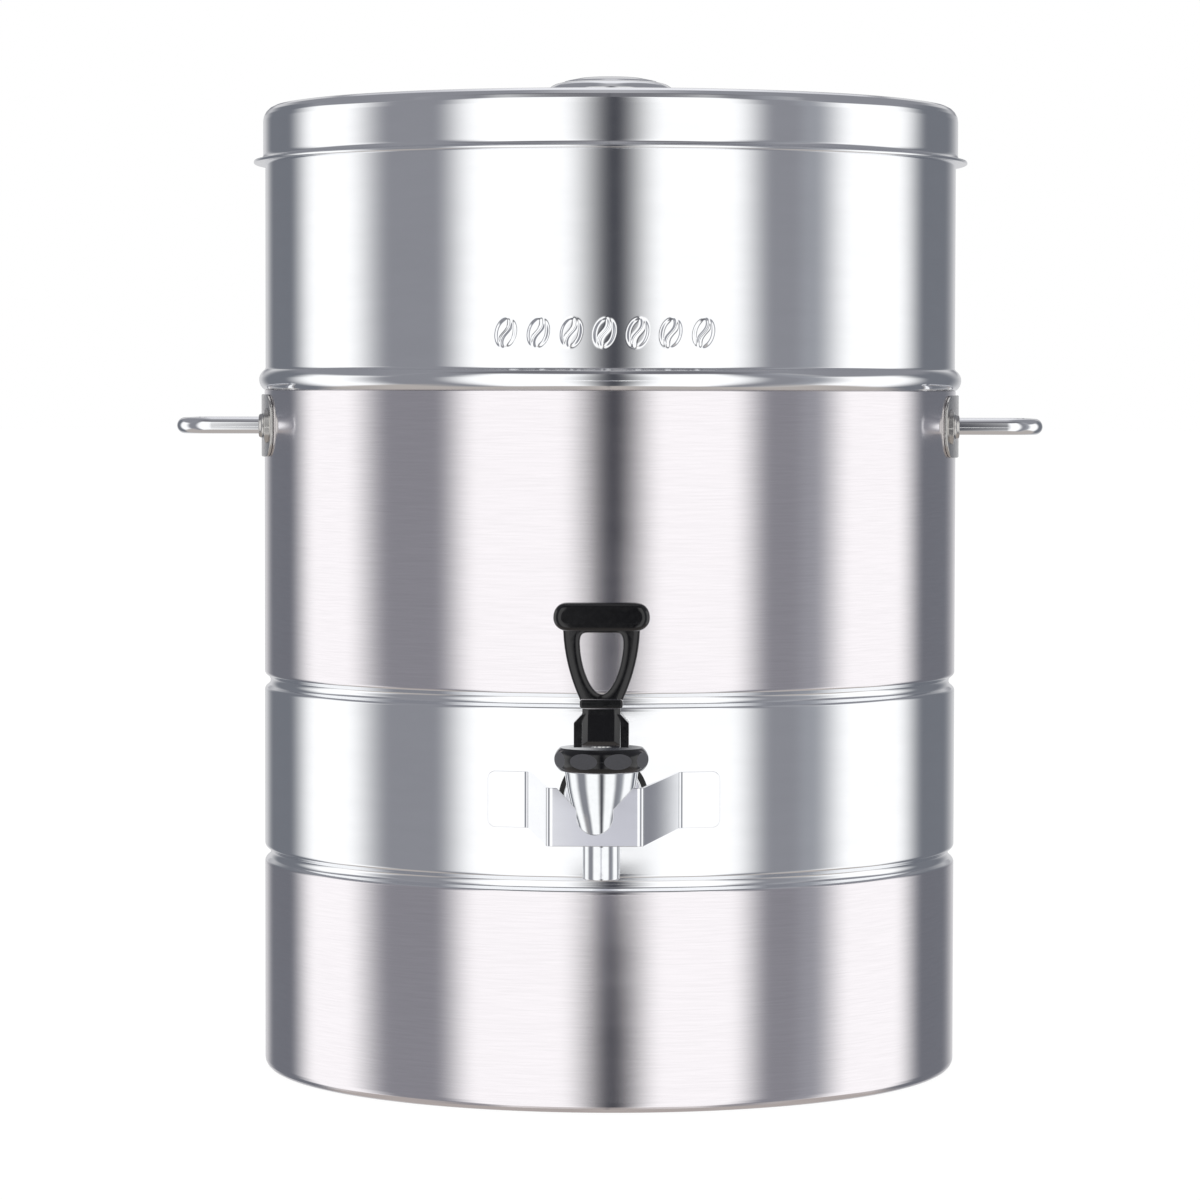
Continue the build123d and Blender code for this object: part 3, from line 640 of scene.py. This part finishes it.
class URN_OT_upper_vessel(bpy.types.Operator):
    """Turn the upper vessel: polished wall, rolled bead, and spigot with its ledge"""

    bl_idname = "urn.upper_vessel"
    bl_label = "Upper vessel"

    # The bead's section is drawn in two arcs, up to where it meets the wall above.
    BEAD_HALFWAY = radians(10)
    BEAD_END = radians(55)

    def execute(self, context):
        sizes = context.scene.urn_sizes
        nose = high("upper_vessel").x
        foot = low("upper_vessel").z
        rim = high("upper_vessel").z
        seat = high("lower_shell").z + sizes.seam_rise
        body = high("lower_shell").x
        wall = body - sizes.upper_step
        inner = wall - sizes.sheet
        spigot = body - sizes.sheet - sizes.slip_fit
        bead = sizes.bead_round
        middle_x = nose - bead
        middle_z = seat + sqrt(bead**2 - (body - middle_x) ** 2)
        start = atan2(seat - middle_z, body - middle_x)
        end_x, end_z = middle_x + bead * cos(self.BEAD_END), middle_z + bead * sin(self.BEAD_END)
        shoulder = end_z + (end_x - wall) / tan(self.BEAD_END)
        corners = [
            (spigot, seat, 0),
            (body, seat, sizes.edge_round),
            around((middle_x, middle_z), bead, start, self.BEAD_HALFWAY),
            around((middle_x, middle_z), bead, self.BEAD_HALFWAY, self.BEAD_END),
            (wall, shoulder, sizes.bead_fillet),
            (wall, rim, sizes.edge_round),
            (inner, rim, sizes.edge_round),
            (inner, shoulder, sizes.bead_fillet),
            (nose - sizes.sheet * 1.2, middle_z, bead / 2),
            (spigot - sizes.sheet, seat + sizes.sheet, sizes.bead_fillet),
            (spigot - sizes.sheet, foot + sizes.sheet, sizes.sheet),
            (spigot - sizes.ledge, foot + sizes.sheet, sizes.edge_round),
            (spigot - sizes.ledge, foot, sizes.edge_round),
            (spigot, foot, 2 * sizes.sheet),
        ]
        bm = turned(corners)
        for face in bm.faces:
            face.material_index = 0 if outward(face) and face.calc_center_median().z > seat else 1
        finishes = ("mirror_polished_stainless", "cold_rolled_stainless")
        make_piece("upper_vessel_wall", bm, "brewer", finishes, ("upper_vessel",))
        return {"FINISHED"}


class URN_OT_lid(bpy.types.Operator):
    """Turn the cap lid with its rounded corner and flared flange"""

    bl_idname = "urn.lid"
    bl_label = "Lid"

    def execute(self, context):
        sizes = context.scene.urn_sizes
        flange = high("lid").x
        foot = low("lid").z
        top = high("lid").z
        sheet = sizes.lid_sheet
        skirt = flange - sizes.lid_flange
        inner = skirt - sheet
        hole = sizes.lid_hole
        flare_round = sizes.lid_flare * 0.8
        hem_round = sizes.lid_hem * 0.45
        corners = [
            (hole, top, 0),
            (skirt, top, sizes.lid_corner),
            (skirt, foot + sizes.lid_hem, flare_round),
            (flange, foot + sizes.lid_hem, hem_round),
            (flange, foot, hem_round),
            (inner, foot, flare_round + sheet),
            (inner, top - sheet, sizes.lid_corner - sheet),
            (hole, top - sheet, 0),
        ]
        bm = turned(corners)
        make_piece("lid_cap", bm, "cover", ("mirror_polished_stainless",), ("lid",))
        return {"FINISHED"}


class URN_OT_lid_knob(bpy.types.Operator):
    """Turn the low bun knob with its finger undercut"""

    bl_idname = "urn.lid_knob"
    bl_label = "Lid knob"

    RIM_HEIGHT = 6.5 * MM
    NECK_RADIUS = 14 * MM
    SEAT_RADIUS = 11 * MM
    RING_ROUND = 0.15 * MM

    def execute(self, context):
        radius = high("lid_knob").x
        foot = low("lid_knob").z
        top = high("lid_knob").z
        rim = foot + self.RIM_HEIGHT
        ring = context.scene.urn_sizes.knob_ring
        corners = [
            (0, top, 0),
            (radius * 0.42, top, 22 * MM),
            (ring, top - 1.5 * MM, self.RING_ROUND),
            (ring + 0.3 * MM, top - 1.85 * MM, self.RING_ROUND),
            (radius * 0.93, rim + 2.7 * MM, 6 * MM),
            (radius, rim, 2.2 * MM),
            (radius - 2 * MM, rim - 2 * MM, 1 * MM),
            (self.NECK_RADIUS, foot + 2.6 * MM, 1.5 * MM),
            (self.NECK_RADIUS, foot, 0.5 * MM),
            (self.SEAT_RADIUS, foot, 0.2 * MM),
            (0, foot, 0),
        ]
        bm = turned(corners, steps=128)
        make_piece(
            "lid_knob_bun", bm, "cover", ("mirror_polished_stainless",), ("lid_knob",),
        )
        return {"FINISHED"}


SIDES_IN_ROD = 32
STEPS_IN_BEND = 16
BENDS_IN_PLATE = 24
# A boss in millimetres: its rounded top, its flared foot, and how deep it is buried in the plate.
BOSS_TOP_RADIUS = 4.6
BOSS_FOOT_RADIUS = 7.1
BOSS_BURIED = 2.6


def rod_loop(side, sizes):
    """Round rod bent to a U, from one boss to the other, by extruding and spinning its section."""
    node = "handle_loop_right" if side > 0 else "handle_loop_left"
    near = low(node).x if side > 0 else -high(node).x
    tip = (high(node).x if side > 0 else -low(node).x) - sizes.handle_short
    radius = sizes.handle_rod
    height = middle(node).z
    span = sizes.handle_span
    bend = sizes.handle_bend
    bend_x = tip - radius - bend
    bm = bmesh.new()
    place = Matrix.Translation((near, -span, height)) @ Matrix.Rotation(radians(90), 4, "Y")
    bmesh.ops.create_circle(bm, cap_ends=True, segments=SIDES_IN_ROD, radius=radius, matrix=place)
    section = bm.edges[:]

    def run(edges, vector):
        made = bmesh.ops.extrude_edge_only(bm, edges=edges)["geom"]
        bmesh.ops.translate(bm, verts=[v for v in made if isinstance(v, bmesh.types.BMVert)], vec=vector)
        return [e for e in made if isinstance(e, bmesh.types.BMEdge) and all(v in made for v in e.verts)]

    def swing(edges, centre, angle):
        made = bmesh.ops.spin(
            bm, geom=edges, cent=centre, axis=(0, 0, 1), dvec=(0, 0, 0), angle=angle,
            steps=STEPS_IN_BEND, use_merge=False, use_normal_flip=False, use_duplicate=False,
        )["geom_last"]
        return [e for e in made if isinstance(e, bmesh.types.BMEdge)]

    section = run(section, (bend_x - near, 0, 0))
    section = swing(section, (bend_x, -span + bend, height), radians(90))
    section = run(section, (0, 2 * (span - bend), 0))
    section = swing(section, (bend_x, span - bend, height), radians(90))
    section = run(section, (near - bend_x, 0, 0))
    bmesh.ops.contextual_create(bm, geom=section)
    if side < 0:
        bmesh.ops.scale(bm, vec=(-1, 1, 1), verts=bm.verts)
    return closed(bm)


def backing_plate(side, sizes):
    """A rounded blank bent to the wall, with a turned, flared boss for each end of the rod."""
    node = "handle_plate_right" if side > 0 else "handle_plate_left"
    half_long = high(node).y - sizes.plate_short
    half_tall = (high(node).z - low(node).z) / 2
    height = middle(node).z
    inner = high("lower_shell").x + sizes.floor_gap
    corner = sizes.plate_corner
    bm = bmesh.new()
    wire(bm, [(x, z, corner) for x, z in (
        (-half_long, -half_tall), (half_long, -half_tall), (half_long, half_tall), (-half_long, half_tall),
    )], 8)
    blank = bmesh.ops.contextual_create(bm, geom=bm.edges[:])["faces"]
    raised = bmesh.ops.extrude_face_region(bm, geom=blank)["geom"]
    raised = [part for part in raised if isinstance(part, bmesh.types.BMVert)]
    bmesh.ops.translate(bm, verts=raised, vec=(0, -sizes.plate_sheet, 0))
    closed(bm)
    soften(bm, 0.35 * MM, 3, radians(60))
    for step in range(1, BENDS_IN_PLATE):
        sliced(bm, ((2 * step / BENDS_IN_PLATE - 1) * half_long, 0, 0), (1, 0, 0))
    for vert in bm.verts:
        across, depth, up = vert.co.x, -vert.co.y, vert.co.z
        vert.co = (sqrt((inner + depth) ** 2 - across**2), across, up + height)
    top = sizes.boss_height / MM
    boss = metres((
        (0, top, 0), (BOSS_TOP_RADIUS, top, 0.5), (BOSS_TOP_RADIUS + 0.4, 0.9, 1.4),
        (BOSS_FOOT_RADIUS, 0.15, 0.2), (BOSS_FOOT_RADIUS, -BOSS_BURIED, 0), (0, -BOSS_BURIED, 0),
    ))
    for y in (-sizes.handle_span, sizes.handle_span):
        root = sqrt((inner + sizes.plate_sheet) ** 2 - y**2)
        place = Matrix.Translation((root, y, height)) @ Matrix.Rotation(radians(90), 4, "Y")
        absorb(bm, turned(boss, 64, grip=0.15 * MM), place)
    kept = inner + sizes.plate_sheet / 2
    for vert in bm.verts:
        reach = Vector((vert.co.x, vert.co.y)).length
        if reach < inner:
            vert.co.x *= kept / reach
            vert.co.y *= kept / reach
    if side < 0:
        bmesh.ops.scale(bm, vec=(-1, 1, 1), verts=bm.verts)
    bmesh.ops.recalc_face_normals(bm, faces=bm.faces)
    return bm


class URN_OT_handles(bpy.types.Operator):
    """Bend the two carrying handles' rods and their backing plates"""

    bl_idname = "urn.handles"
    bl_label = "Carrying handles"

    def execute(self, context):
        sizes = context.scene.urn_sizes
        for side, name in ((1, "right"), (-1, "left")):
            make_piece(
                f"carrying_handle_{name}", rod_loop(side, sizes), "urn",
                ("mirror_polished_stainless",), (f"handle_loop_{name}",),
            )
            make_piece(
                f"handle_backing_{name}", backing_plate(side, sizes), "urn",
                ("pressed_stainless",), (f"handle_plate_{name}",), flats=True,
            )
        return {"FINISHED"}


class URN_OT_bean_row(bpy.types.Operator):
    """Emboss a row of coffee beans in the front of the upper vessel"""

    bl_idname = "urn.bean_row"
    bl_label = "Bean row"

    GRID_STEP = 0.35 * MM
    SIDE_MARGIN = 2 * MM
    TOP_MARGIN = 1.5 * MM
    SHEET_LEFT = 0.3 * MM
    PROUD = 0.02 * MM
    SHOULDER = 1.7
    CREASE_WIDTH = 0.75 * MM
    CREASE_DEPTH = 0.6
    CREASE_SWAY = 0.13

    def execute(self, context):
        sizes = context.scene.urn_sizes
        wall = high("lower_shell").x - sizes.upper_step
        half_wide = sizes.bean_step * sizes.bean_count / 2 + self.SIDE_MARGIN
        half_tall = sizes.bean_long / 2 + self.TOP_MARGIN
        bm = bmesh.new()
        bmesh.ops.create_grid(
            bm, size=1, matrix=Matrix.Diagonal((half_wide, half_tall, 1, 1)),
            x_segments=round(2 * half_wide / self.GRID_STEP),
            y_segments=round(2 * half_tall / self.GRID_STEP),
        )
        for vert in bm.verts:
            across, up = vert.co.x, vert.co.y
            rise = self.PROUD + self.pressed(sizes, across, up)
            angle = across / wall
            vert.co = ((wall + rise) * sin(angle), -(wall + rise) * cos(angle), sizes.bean_height + up)
        bmesh.ops.recalc_face_normals(bm, faces=bm.faces)
        if bm.faces[:][0].normal.y > 0:
            bmesh.ops.reverse_faces(bm, faces=bm.faces)
        bmesh.ops.solidify(bm, geom=bm.faces[:], thickness=self.SHEET_LEFT)
        bmesh.ops.recalc_face_normals(bm, faces=bm.faces)
        make_piece("bean_row", bm, "brewer", ("mirror_polished_stainless",))
        return {"FINISHED"}

    def pressed(self, sizes, across, up):
        """How far the sheet is pressed out at a place in the row."""
        count = sizes.bean_count
        index = min(max(int(across / sizes.bean_step + count / 2), 0), count - 1)
        across -= (index - (count - 1) / 2) * sizes.bean_step
        lean = sizes.bean_lean
        side = across * cos(lean) - up * sin(lean)
        along = across * sin(lean) + up * cos(lean)
        half_long, half_wide = sizes.bean_long / 2, sizes.bean_wide / 2
        inside = 1 - (side / half_wide) ** 2 - (along / half_long) ** 2
        if inside <= 0:
            return 0.0
        climb = min(1.0, inside * self.SHOULDER)
        dome = climb * climb * (3 - 2 * climb)
        sway = self.CREASE_SWAY * sizes.bean_wide * sin(pi * along / half_long)
        crease = self.CREASE_DEPTH * exp(-(((side - sway) / self.CREASE_WIDTH) ** 2))
        return sizes.bean_rise * dome * (1 - crease)


class URN_OT_tap_guard(bpy.types.Operator):
    """Round the edges of the strip bent round the tap"""

    bl_idname = "urn.tap_guard"
    bl_label = "Tap guard"

    def execute(self, context):
        bm = soften(copied("tap_guard"), 0.2 * MM, 2)
        make_piece(
            "tap_guard_strip", bm, "urn", ("mirror_polished_stainless",),
            ("tap_guard",), flats=True,
        )
        return {"FINISHED"}


class URN_OT_tap_casting(bpy.types.Operator):
    """Turn the tap's tulip, spout, neck and shank, and finish its seal"""

    bl_idname = "urn.tap_casting"
    bl_label = "Tap casting"

    # Outlines in millimetres: the tulip round the spout's axis, and the neck along the shank.
    TULIP = (
        (4.8, -25.8, 0.3), (6.85, -25.8, 0.5), (6.85, -12, 9), (12.0, 3.2, 60), (13.6, 14.2, 0.4),
        (13.0, 14.2, 0.1), (13.0, 20.9, 0.2), (10.0, 20.9, 0.2), (10.0, 1.7, 0.3), (4.8, -5.8, 0.3),
    )
    NECK = (
        (5.5, 7.4, 0), (9.5, 7.4, 0), (9.5, 42, 2.5), (15, 42, 0.6), (15, 45, 0.3), (8, 45, 0.2),
        (8, 69, 0.5), (5.5, 69, 0.3),
    )

    def execute(self, context):
        sizes = context.scene.urn_sizes
        across, height = -sizes.tap_reach, sizes.tap_height
        bm = turned(metres(self.TULIP, height), SMALL_TURN_STEPS * 2, (0, across), 0.2 * MM, 8)
        lying = Matrix.Translation((0, across, height)) @ Matrix.Rotation(radians(-90), 4, "X")
        absorb(bm, turned(metres(self.NECK), SMALL_TURN_STEPS, grip=0.2 * MM), lying)
        make_piece("tap_casting", bm, "urn", ("bright_chrome_plate",), ("tap_body",))
        seal = soften(copied("tap_outer_gasket"), 0.3 * MM, 2)
        make_piece("tap_seal", seal, "urn", ("nitrile_rubber",), ("tap_outer_gasket",), flats=True)
        return {"FINISHED"}


class URN_OT_ring_nut(bpy.types.Operator):
    """Turn the black ring nut and cut its eight oval finger flats"""

    bl_idname = "urn.ring_nut"
    bl_label = "Ring nut"

    RADIUS = 17.25 * MM
    BORE = 13.05 * MM
    STEM_HOLE = 3.05 * MM
    WEB = 2 * MM
    SECTION_RADIUS = 5.6 * MM
    FLAT_RADIUS = 16.5 * MM
    FLATS = 8
    FLAT_AREA = 15 * MM * MM  # no other face of the nut is as large as this

    def execute(self, context):
        sizes = context.scene.urn_sizes
        half_tall = (high("tap_bonnet").z - low("tap_bonnet").z) / 2
        half_turn = asin(half_tall / self.SECTION_RADIUS)
        centre = (self.RADIUS - self.SECTION_RADIUS, 0)
        end = centre[0] + self.SECTION_RADIUS * cos(half_turn)
        web = half_tall - self.WEB
        corners = [
            (self.BORE, -half_tall, 0), (end, -half_tall, 0),
            around(centre, self.SECTION_RADIUS, -half_turn, half_turn), (end, half_tall, 0),
            (self.STEM_HOLE, half_tall, 0), (self.STEM_HOLE, web, 0), (self.BORE, web, 0),
        ]
        bm = turned(corners, SMALL_TURN_STEPS * 2, grip=0.2 * MM, round_steps=18)
        soften(bm, 0.35 * MM, 3)
        for number in range(self.FLATS):
            angle = 2 * pi * (number + 0.5) / self.FLATS
            outward = Vector((sin(angle), cos(angle), 0))
            sliced(bm, outward * self.FLAT_RADIUS, outward, clear=True)
        for face in bm.faces:
            face.material_index = int(face.calc_area() > self.FLAT_AREA)
        bmesh.ops.translate(bm, verts=bm.verts, vec=(0, -sizes.tap_reach, middle("tap_bonnet").z))
        bmesh.ops.recalc_face_normals(bm, faces=bm.faces)
        make_piece(
            "tap_ring_nut", bm, "urn", ("gloss_black_moulding", "spark_textured_moulding"),
            ("tap_bonnet",), sharp=radians(12), flats=True,
        )
        return {"FINISHED"}


class URN_OT_pull_lever(bpy.types.Operator):
    """Mould the pull lever: neck and wings, collar, open paddle and cross bar"""

    bl_idname = "urn.pull_lever"
    bl_label = "Pull lever"

    # Right halves in millimetres about the collar's middle: a point, then the handles before and after it.
    COLLAR = (
        ((6.9, -1.6), (3, -1.6), (7.45, -1.6)), ((7.9, -0.6), (7.9, -1.15), (7.9, -0.3)),
        ((7.9, 0.6), (7.9, 0.3), (7.9, 1.15)), ((6.9, 1.6), (7.45, 1.6), (3, 1.6)),
    )
    PADDLE = (
        ((7.0, -0.5), (3, -0.5), (10.4, 6.5)), ((14.1, 26.5), (13.6, 15.5), (14.1, 27.5)),
        ((14.1, 31), (14.1, 30), (10, 31)),
    )
    WINDOW = (
        ((0, 3.2), (-3.2, 3.2), (3.2, 3.2)), ((8.0, 21.7), (7.6, 11.4), (8.0, 24.6)),
        ((5.2, 26.0), (7.5, 26.0), (2, 26.0)),
    )
    BAR = (
        ((11.5, 26.3), (4, 26.3), (15.0, 26.3)), ((17.75, 31.6), (17.9, 28.3), (17.75, 34.2)),
        ((12.6, 37.0), (16.2, 37.0), (4, 37.0)),
    )
    # How thick each is to either side of the lever's middle, and how its edges are rounded.
    HALF_DEPTH, ARM_ROUNDING = 3.25 * MM, 2.3 * MM
    COLLAR_DEPTH, COLLAR_ROUNDING = 6.3 * MM, 0.8 * MM
    BAR_DEPTH, BAR_ROUNDING = 4.5 * MM, 3.0 * MM
    FRONT_BULGE = 0.4
    CROWN_RADIUS = 170 * MM
    NECK_BELOW_COLLAR = 1.9 * MM

    def execute(self, context):
        sizes = context.scene.urn_sizes
        collar = sizes.pin_height + sizes.collar_height
        bm = copied("tap_lever")
        sliced(bm, (0, 0, collar - self.NECK_BELOW_COLLAR), (0, 0, 1), clear=True)
        soften(bm, 0.35 * MM, 3)
        place = (0, -sizes.tap_reach, collar)
        paddle = bmesh.new()
        slab(paddle, [(self.PADDLE, 1), (self.WINDOW, -1)], self.HALF_DEPTH, self.ARM_ROUNDING, (0, 0, 0))
        for vert in paddle.verts:
            if vert.co.y < 0:
                depth = vert.co.y + self.HALF_DEPTH
                if depth < self.ARM_ROUNDING + WELD:
                    vert.co.y = self.FRONT_BULGE * depth - self.HALF_DEPTH
                vert.co.y += vert.co.x**2 / (2 * self.CROWN_RADIUS)
        absorb(bm, closed(paddle), Matrix.Translation(place))
        grip = bmesh.new()
        slab(grip, [(self.COLLAR, 1)], self.COLLAR_DEPTH, self.COLLAR_ROUNDING, place)
        slab(grip, [(self.BAR, 1)], self.BAR_DEPTH, self.BAR_ROUNDING, place)
        absorb(bm, closed(grip), Matrix())
        make_piece(
            "tap_pull_lever", bm, "lever", ("gloss_black_moulding",),
            ("tap_lever",), flats=True,
        )
        return {"FINISHED"}


class URN_OT_closing_spring(bpy.types.Operator):
    """Finish a copy of the tap's closing spring in drawn steel, riding on no body"""

    bl_idname = "urn.closing_spring"
    bl_label = "Closing spring"

    END_TURN = 1 * MM  # each end keeps its shape over this height

    def execute(self, context):
        spring = make_piece(
            "tap_closing_spring", copied("tap_spring"), None, ("drawn_steel",),
            ("tap_spring",),
        )
        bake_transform(spring)
        return {"FINISHED"}


class URN_OT_inner_parts(bpy.types.Operator):
    """Give the parts inside the urn and the tap their finishes"""

    bl_idname = "urn.inner_parts"
    bl_label = "Inner parts"

    def execute(self, context):
        painted = {
            "cold_rolled_stainless": ("tank_floor", "filter_plate", "press_disc"),
            "drawn_steel": ("press_rod", "tap_stem", "tap_lever_pin", "tap_shank_washer", "lid_knob_screw"),
            "bright_chrome_plate": ("tap_shank_nut",),
            "gloss_black_moulding": ("press_knob",),
            "nitrile_rubber": ("tap_inner_gasket",),
            "pale_silicone": ("tap_seat_cup",),
        }
        for finish_name, nodes in painted.items():
            for node in nodes:
                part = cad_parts[node]
                part.data.materials.clear()
                part.data.materials.append(finish(finish_name))
                part.visible_glossy = not node.startswith("tap_")
        return {"FINISHED"}


# ---------------------------------------------------------------- studio
# Azimuths in degrees, 0 in front of the tap and growing to its right, with the tone met there.
STUDIO_RING = (
    (-180, "back"), (-166, "back"), (-149, "far_flag"), (-132, "far_flag"), (-112, "surround"),
    (-97, "surround"), (-75, "flag"), (-59, "flag"), (-42, "surround"), (-16, "surround"),
    (2.2, "slit"), (19, "surround"), (40, "surround"), (56, "flag"), (62, "flag"), (70, "pale_flag"),
    (88, "surround"), (109, "surround"), (129, "far_flag"), (147, "far_flag"), (172, "back"), (180, "back"),
)
# Elevations in degrees with the tone met there: in front of the urn, beside it and behind it, each
# with the azimuths between which it takes over from the one before.
STUDIO_LEVELS = (
    ((0, 1), (
        (-90, "floor_tone"), (-64, "floor_tone"), (-54, "ring"), (48, "ring"), (58, "roof"), (72, "roof"),
        (86, "zenith"),
    )),
    ((60, 85), (
        (-90, "floor_tone"), (-40, "floor_tone"), (-30, "ring"), (20, "ring"), (30, "flag"), (72, "flag"),
        (86, "zenith"),
    )),
    ((158, 170), (
        (-90, "floor_tone"), (-40, "floor_tone"), (-30, "ring"), (4, "ring"), (7, "flag"), (9, "flag"),
        (14, "back"), (24, "back"), (27, "flag"), (31, "bright"), (60, "bright"), (80, "zenith"),
    )),
)
# The glowing card stands in front of the tap, low enough to show in the lower polished band alone.
CARD_Y = -1140 * MM
CARD_LEFT, CARD_RIGHT = -310 * MM, 360 * MM
CARD_FOOT, CARD_TOP = -7 * MM, 85 * MM
CARD_STRENGTH = 1.14
DAYLIGHT = 0.95
FLOOR_REACH = 30.0


class URN_OT_studio(bpy.types.Operator):
    """Set up the floor, the light round the urn and the camera"""

    bl_idname = "urn.studio"
    bl_label = "Studio"

    def execute(self, context):
        scene = context.scene
        self.make_floor()
        self.make_card()
        self.light_world(scene)
        self.place_camera(scene)
        scene.view_settings.view_transform = "Standard"
        return {"FINISHED"}

    def make_card(self):
        """A low glowing card, its tones painted, that only the reflections show."""
        bm = bmesh.new()
        for x, z in (
            (CARD_LEFT, CARD_FOOT), (CARD_RIGHT, CARD_FOOT), (CARD_RIGHT, CARD_TOP), (CARD_LEFT, CARD_TOP),
        ):
            bm.verts.new((x, CARD_Y, z))
        bmesh.ops.contextual_create(bm, geom=bm.verts[:])
        card = add_object("card", bm, ("paper_card",))
        card.visible_camera = card.visible_diffuse = card.visible_shadow = False

    def make_floor(self):
        """A wide pale floor, left out of the metal's reflections, which show the studio's own floor tone."""
        bm = bmesh.new()
        bmesh.ops.create_grid(bm, x_segments=1, y_segments=1, size=FLOOR_REACH)
        floor = add_object("floor", bm, ("floor_paint",))
        floor.visible_glossy = False

    def light_world(self, scene):
        """White surround with soft-edged grey flags, which only the reflections show."""
        colours = scene.urn_colours
        world = bpy.data.worlds.new("studio")
        world.use_nodes = True
        scene.world = world
        tree = world.node_tree
        tree.nodes.clear()
        direction = add_node(tree, "ShaderNodeTexCoord").outputs["Generated"]
        axes = add_node(tree, "ShaderNodeSeparateXYZ", {"Vector": direction}).outputs
        back = add_node(tree, "ShaderNodeMath", {0: axes["Y"], 1: -1.0}, operation="MULTIPLY").outputs[0]
        azimuth = add_node(tree, "ShaderNodeMath", {0: axes["X"], 1: back}, operation="ARCTAN2").outputs[0]
        round_way = add_node(tree, "ShaderNodeMapRange", {
            "Value": azimuth, "From Min": -pi, "From Max": pi,
        }).outputs["Result"]
        ring = add_node(tree, "ShaderNodeValToRGB", {"Fac": round_way}, [
            ((angle + 180) / 360, getattr(colours, tone)) for angle, tone in STUDIO_RING
        ]).outputs["Color"]
        height = add_node(tree, "ShaderNodeMath", {0: axes["Z"]}, operation="ARCSINE").outputs[0]
        up = add_node(tree, "ShaderNodeMapRange", {
            "Value": height, "From Min": -pi / 2, "From Max": pi / 2,
        }).outputs["Result"]
        turned_away = add_node(tree, "ShaderNodeMath", {0: azimuth}, operation="ABSOLUTE").outputs[0]
        mixed = ring
        for reach, levels in STUDIO_LEVELS:
            # Two ramps over the same levels: one tells where the ring shows, the other what else does.
            in_ring = add_node(tree, "ShaderNodeValToRGB", {"Fac": up}, [
                ((level + 90) / 180, (float(tone == "ring"),) * 3 + (1.0,)) for level, tone in levels
            ]).outputs["Color"]
            beyond = add_node(tree, "ShaderNodeValToRGB", {"Fac": up}, [
                ((level + 90) / 180, getattr(colours, tone)) for level, tone in levels if tone != "ring"
            ]).outputs["Color"]
            nearest, farthest = (radians(angle) for angle in reach)
            share = add_node(tree, "ShaderNodeMapRange", {
                "Value": turned_away, "From Min": nearest, "From Max": farthest,
            }).outputs["Result"]
            side = add_node(
                tree, "ShaderNodeMix", {0: in_ring, 6: beyond, 7: ring}, data_type="RGBA",
            ).outputs[2]
            mixed = add_node(
                tree, "ShaderNodeMix", {0: share, 6: mixed, 7: side}, data_type="RGBA",
            ).outputs[2]
        surround = colours.surround
        soft, cards, white = (
            add_node(tree, "ShaderNodeBackground", {"Color": tone, "Strength": strength}).outputs[0]
            for tone, strength in ((surround, DAYLIGHT), (mixed, CARD_STRENGTH), (surround, 1.0))
        )
        path = add_node(tree, "ShaderNodeLightPath").outputs
        lit = add_node(tree, "ShaderNodeMixShader", {0: path["Is Glossy Ray"], 1: soft, 2: cards}).outputs[0]
        seen = add_node(tree, "ShaderNodeMixShader", {0: path["Is Camera Ray"], 1: lit, 2: white}).outputs[0]
        add_node(tree, "ShaderNodeOutputWorld", {"Surface": seen})

    def place_camera(self, scene):
        """Camera in front of the tap, a little above the urn's middle."""
        studio = scene.urn_studio
        data = bpy.data.cameras.new("camera")
        data.lens = studio.lens
        data.sensor_width = 36
        camera = bpy.data.objects.new("camera", data)
        camera.location = (
            studio.distance * sin(studio.around), -studio.distance * cos(studio.around), studio.height,
        )
        camera.rotation_euler = (radians(90) - studio.pitch, -studio.roll, studio.around + studio.aim)
        scene.collection.objects.link(camera)
        scene.camera = camera


class URN_PT_panel(bpy.types.Panel):
    """Buttons that build each piece of the urn"""

    bl_idname = "URN_PT_panel"
    bl_label = "Coffee urn"
    bl_space_type = "VIEW_3D"
    bl_region_type = "UI"
    bl_category = "Urn"

    def draw(self, context):
        for operator in OPERATORS:
            self.layout.operator(operator.bl_idname)


OPERATORS = (
    URN_OT_lower_vessel,
    URN_OT_upper_vessel,
    URN_OT_lid,
    URN_OT_lid_knob,
    URN_OT_handles,
    URN_OT_bean_row,
    URN_OT_tap_guard,
    URN_OT_tap_casting,
    URN_OT_ring_nut,
    URN_OT_pull_lever,
    URN_OT_closing_spring,
    URN_OT_inner_parts,
    URN_OT_studio,
)
GROUPS = {"urn_sizes": UrnSizes, "urn_colours": UrnColours, "urn_studio": UrnStudio}


def register():
    """Register the property groups, the operators and the panel."""
    for cls in (*GROUPS.values(), *OPERATORS, URN_PT_panel):
        bpy.utils.register_class(cls)
    for name, group in GROUPS.items():
        setattr(bpy.types.Scene, name, PointerProperty(type=group))


def unregister():
    """Undo what register does."""
    for name in GROUPS:
        delattr(bpy.types.Scene, name)
    for cls in reversed((*GROUPS.values(), *OPERATORS, URN_PT_panel)):
        bpy.utils.unregister_class(cls)


def main():
    """Build every piece."""
    register()
    for operator in OPERATORS:
        getattr(bpy.ops.urn, operator.bl_idname.removeprefix("urn."))()


if __name__ == "__main__":
    main()
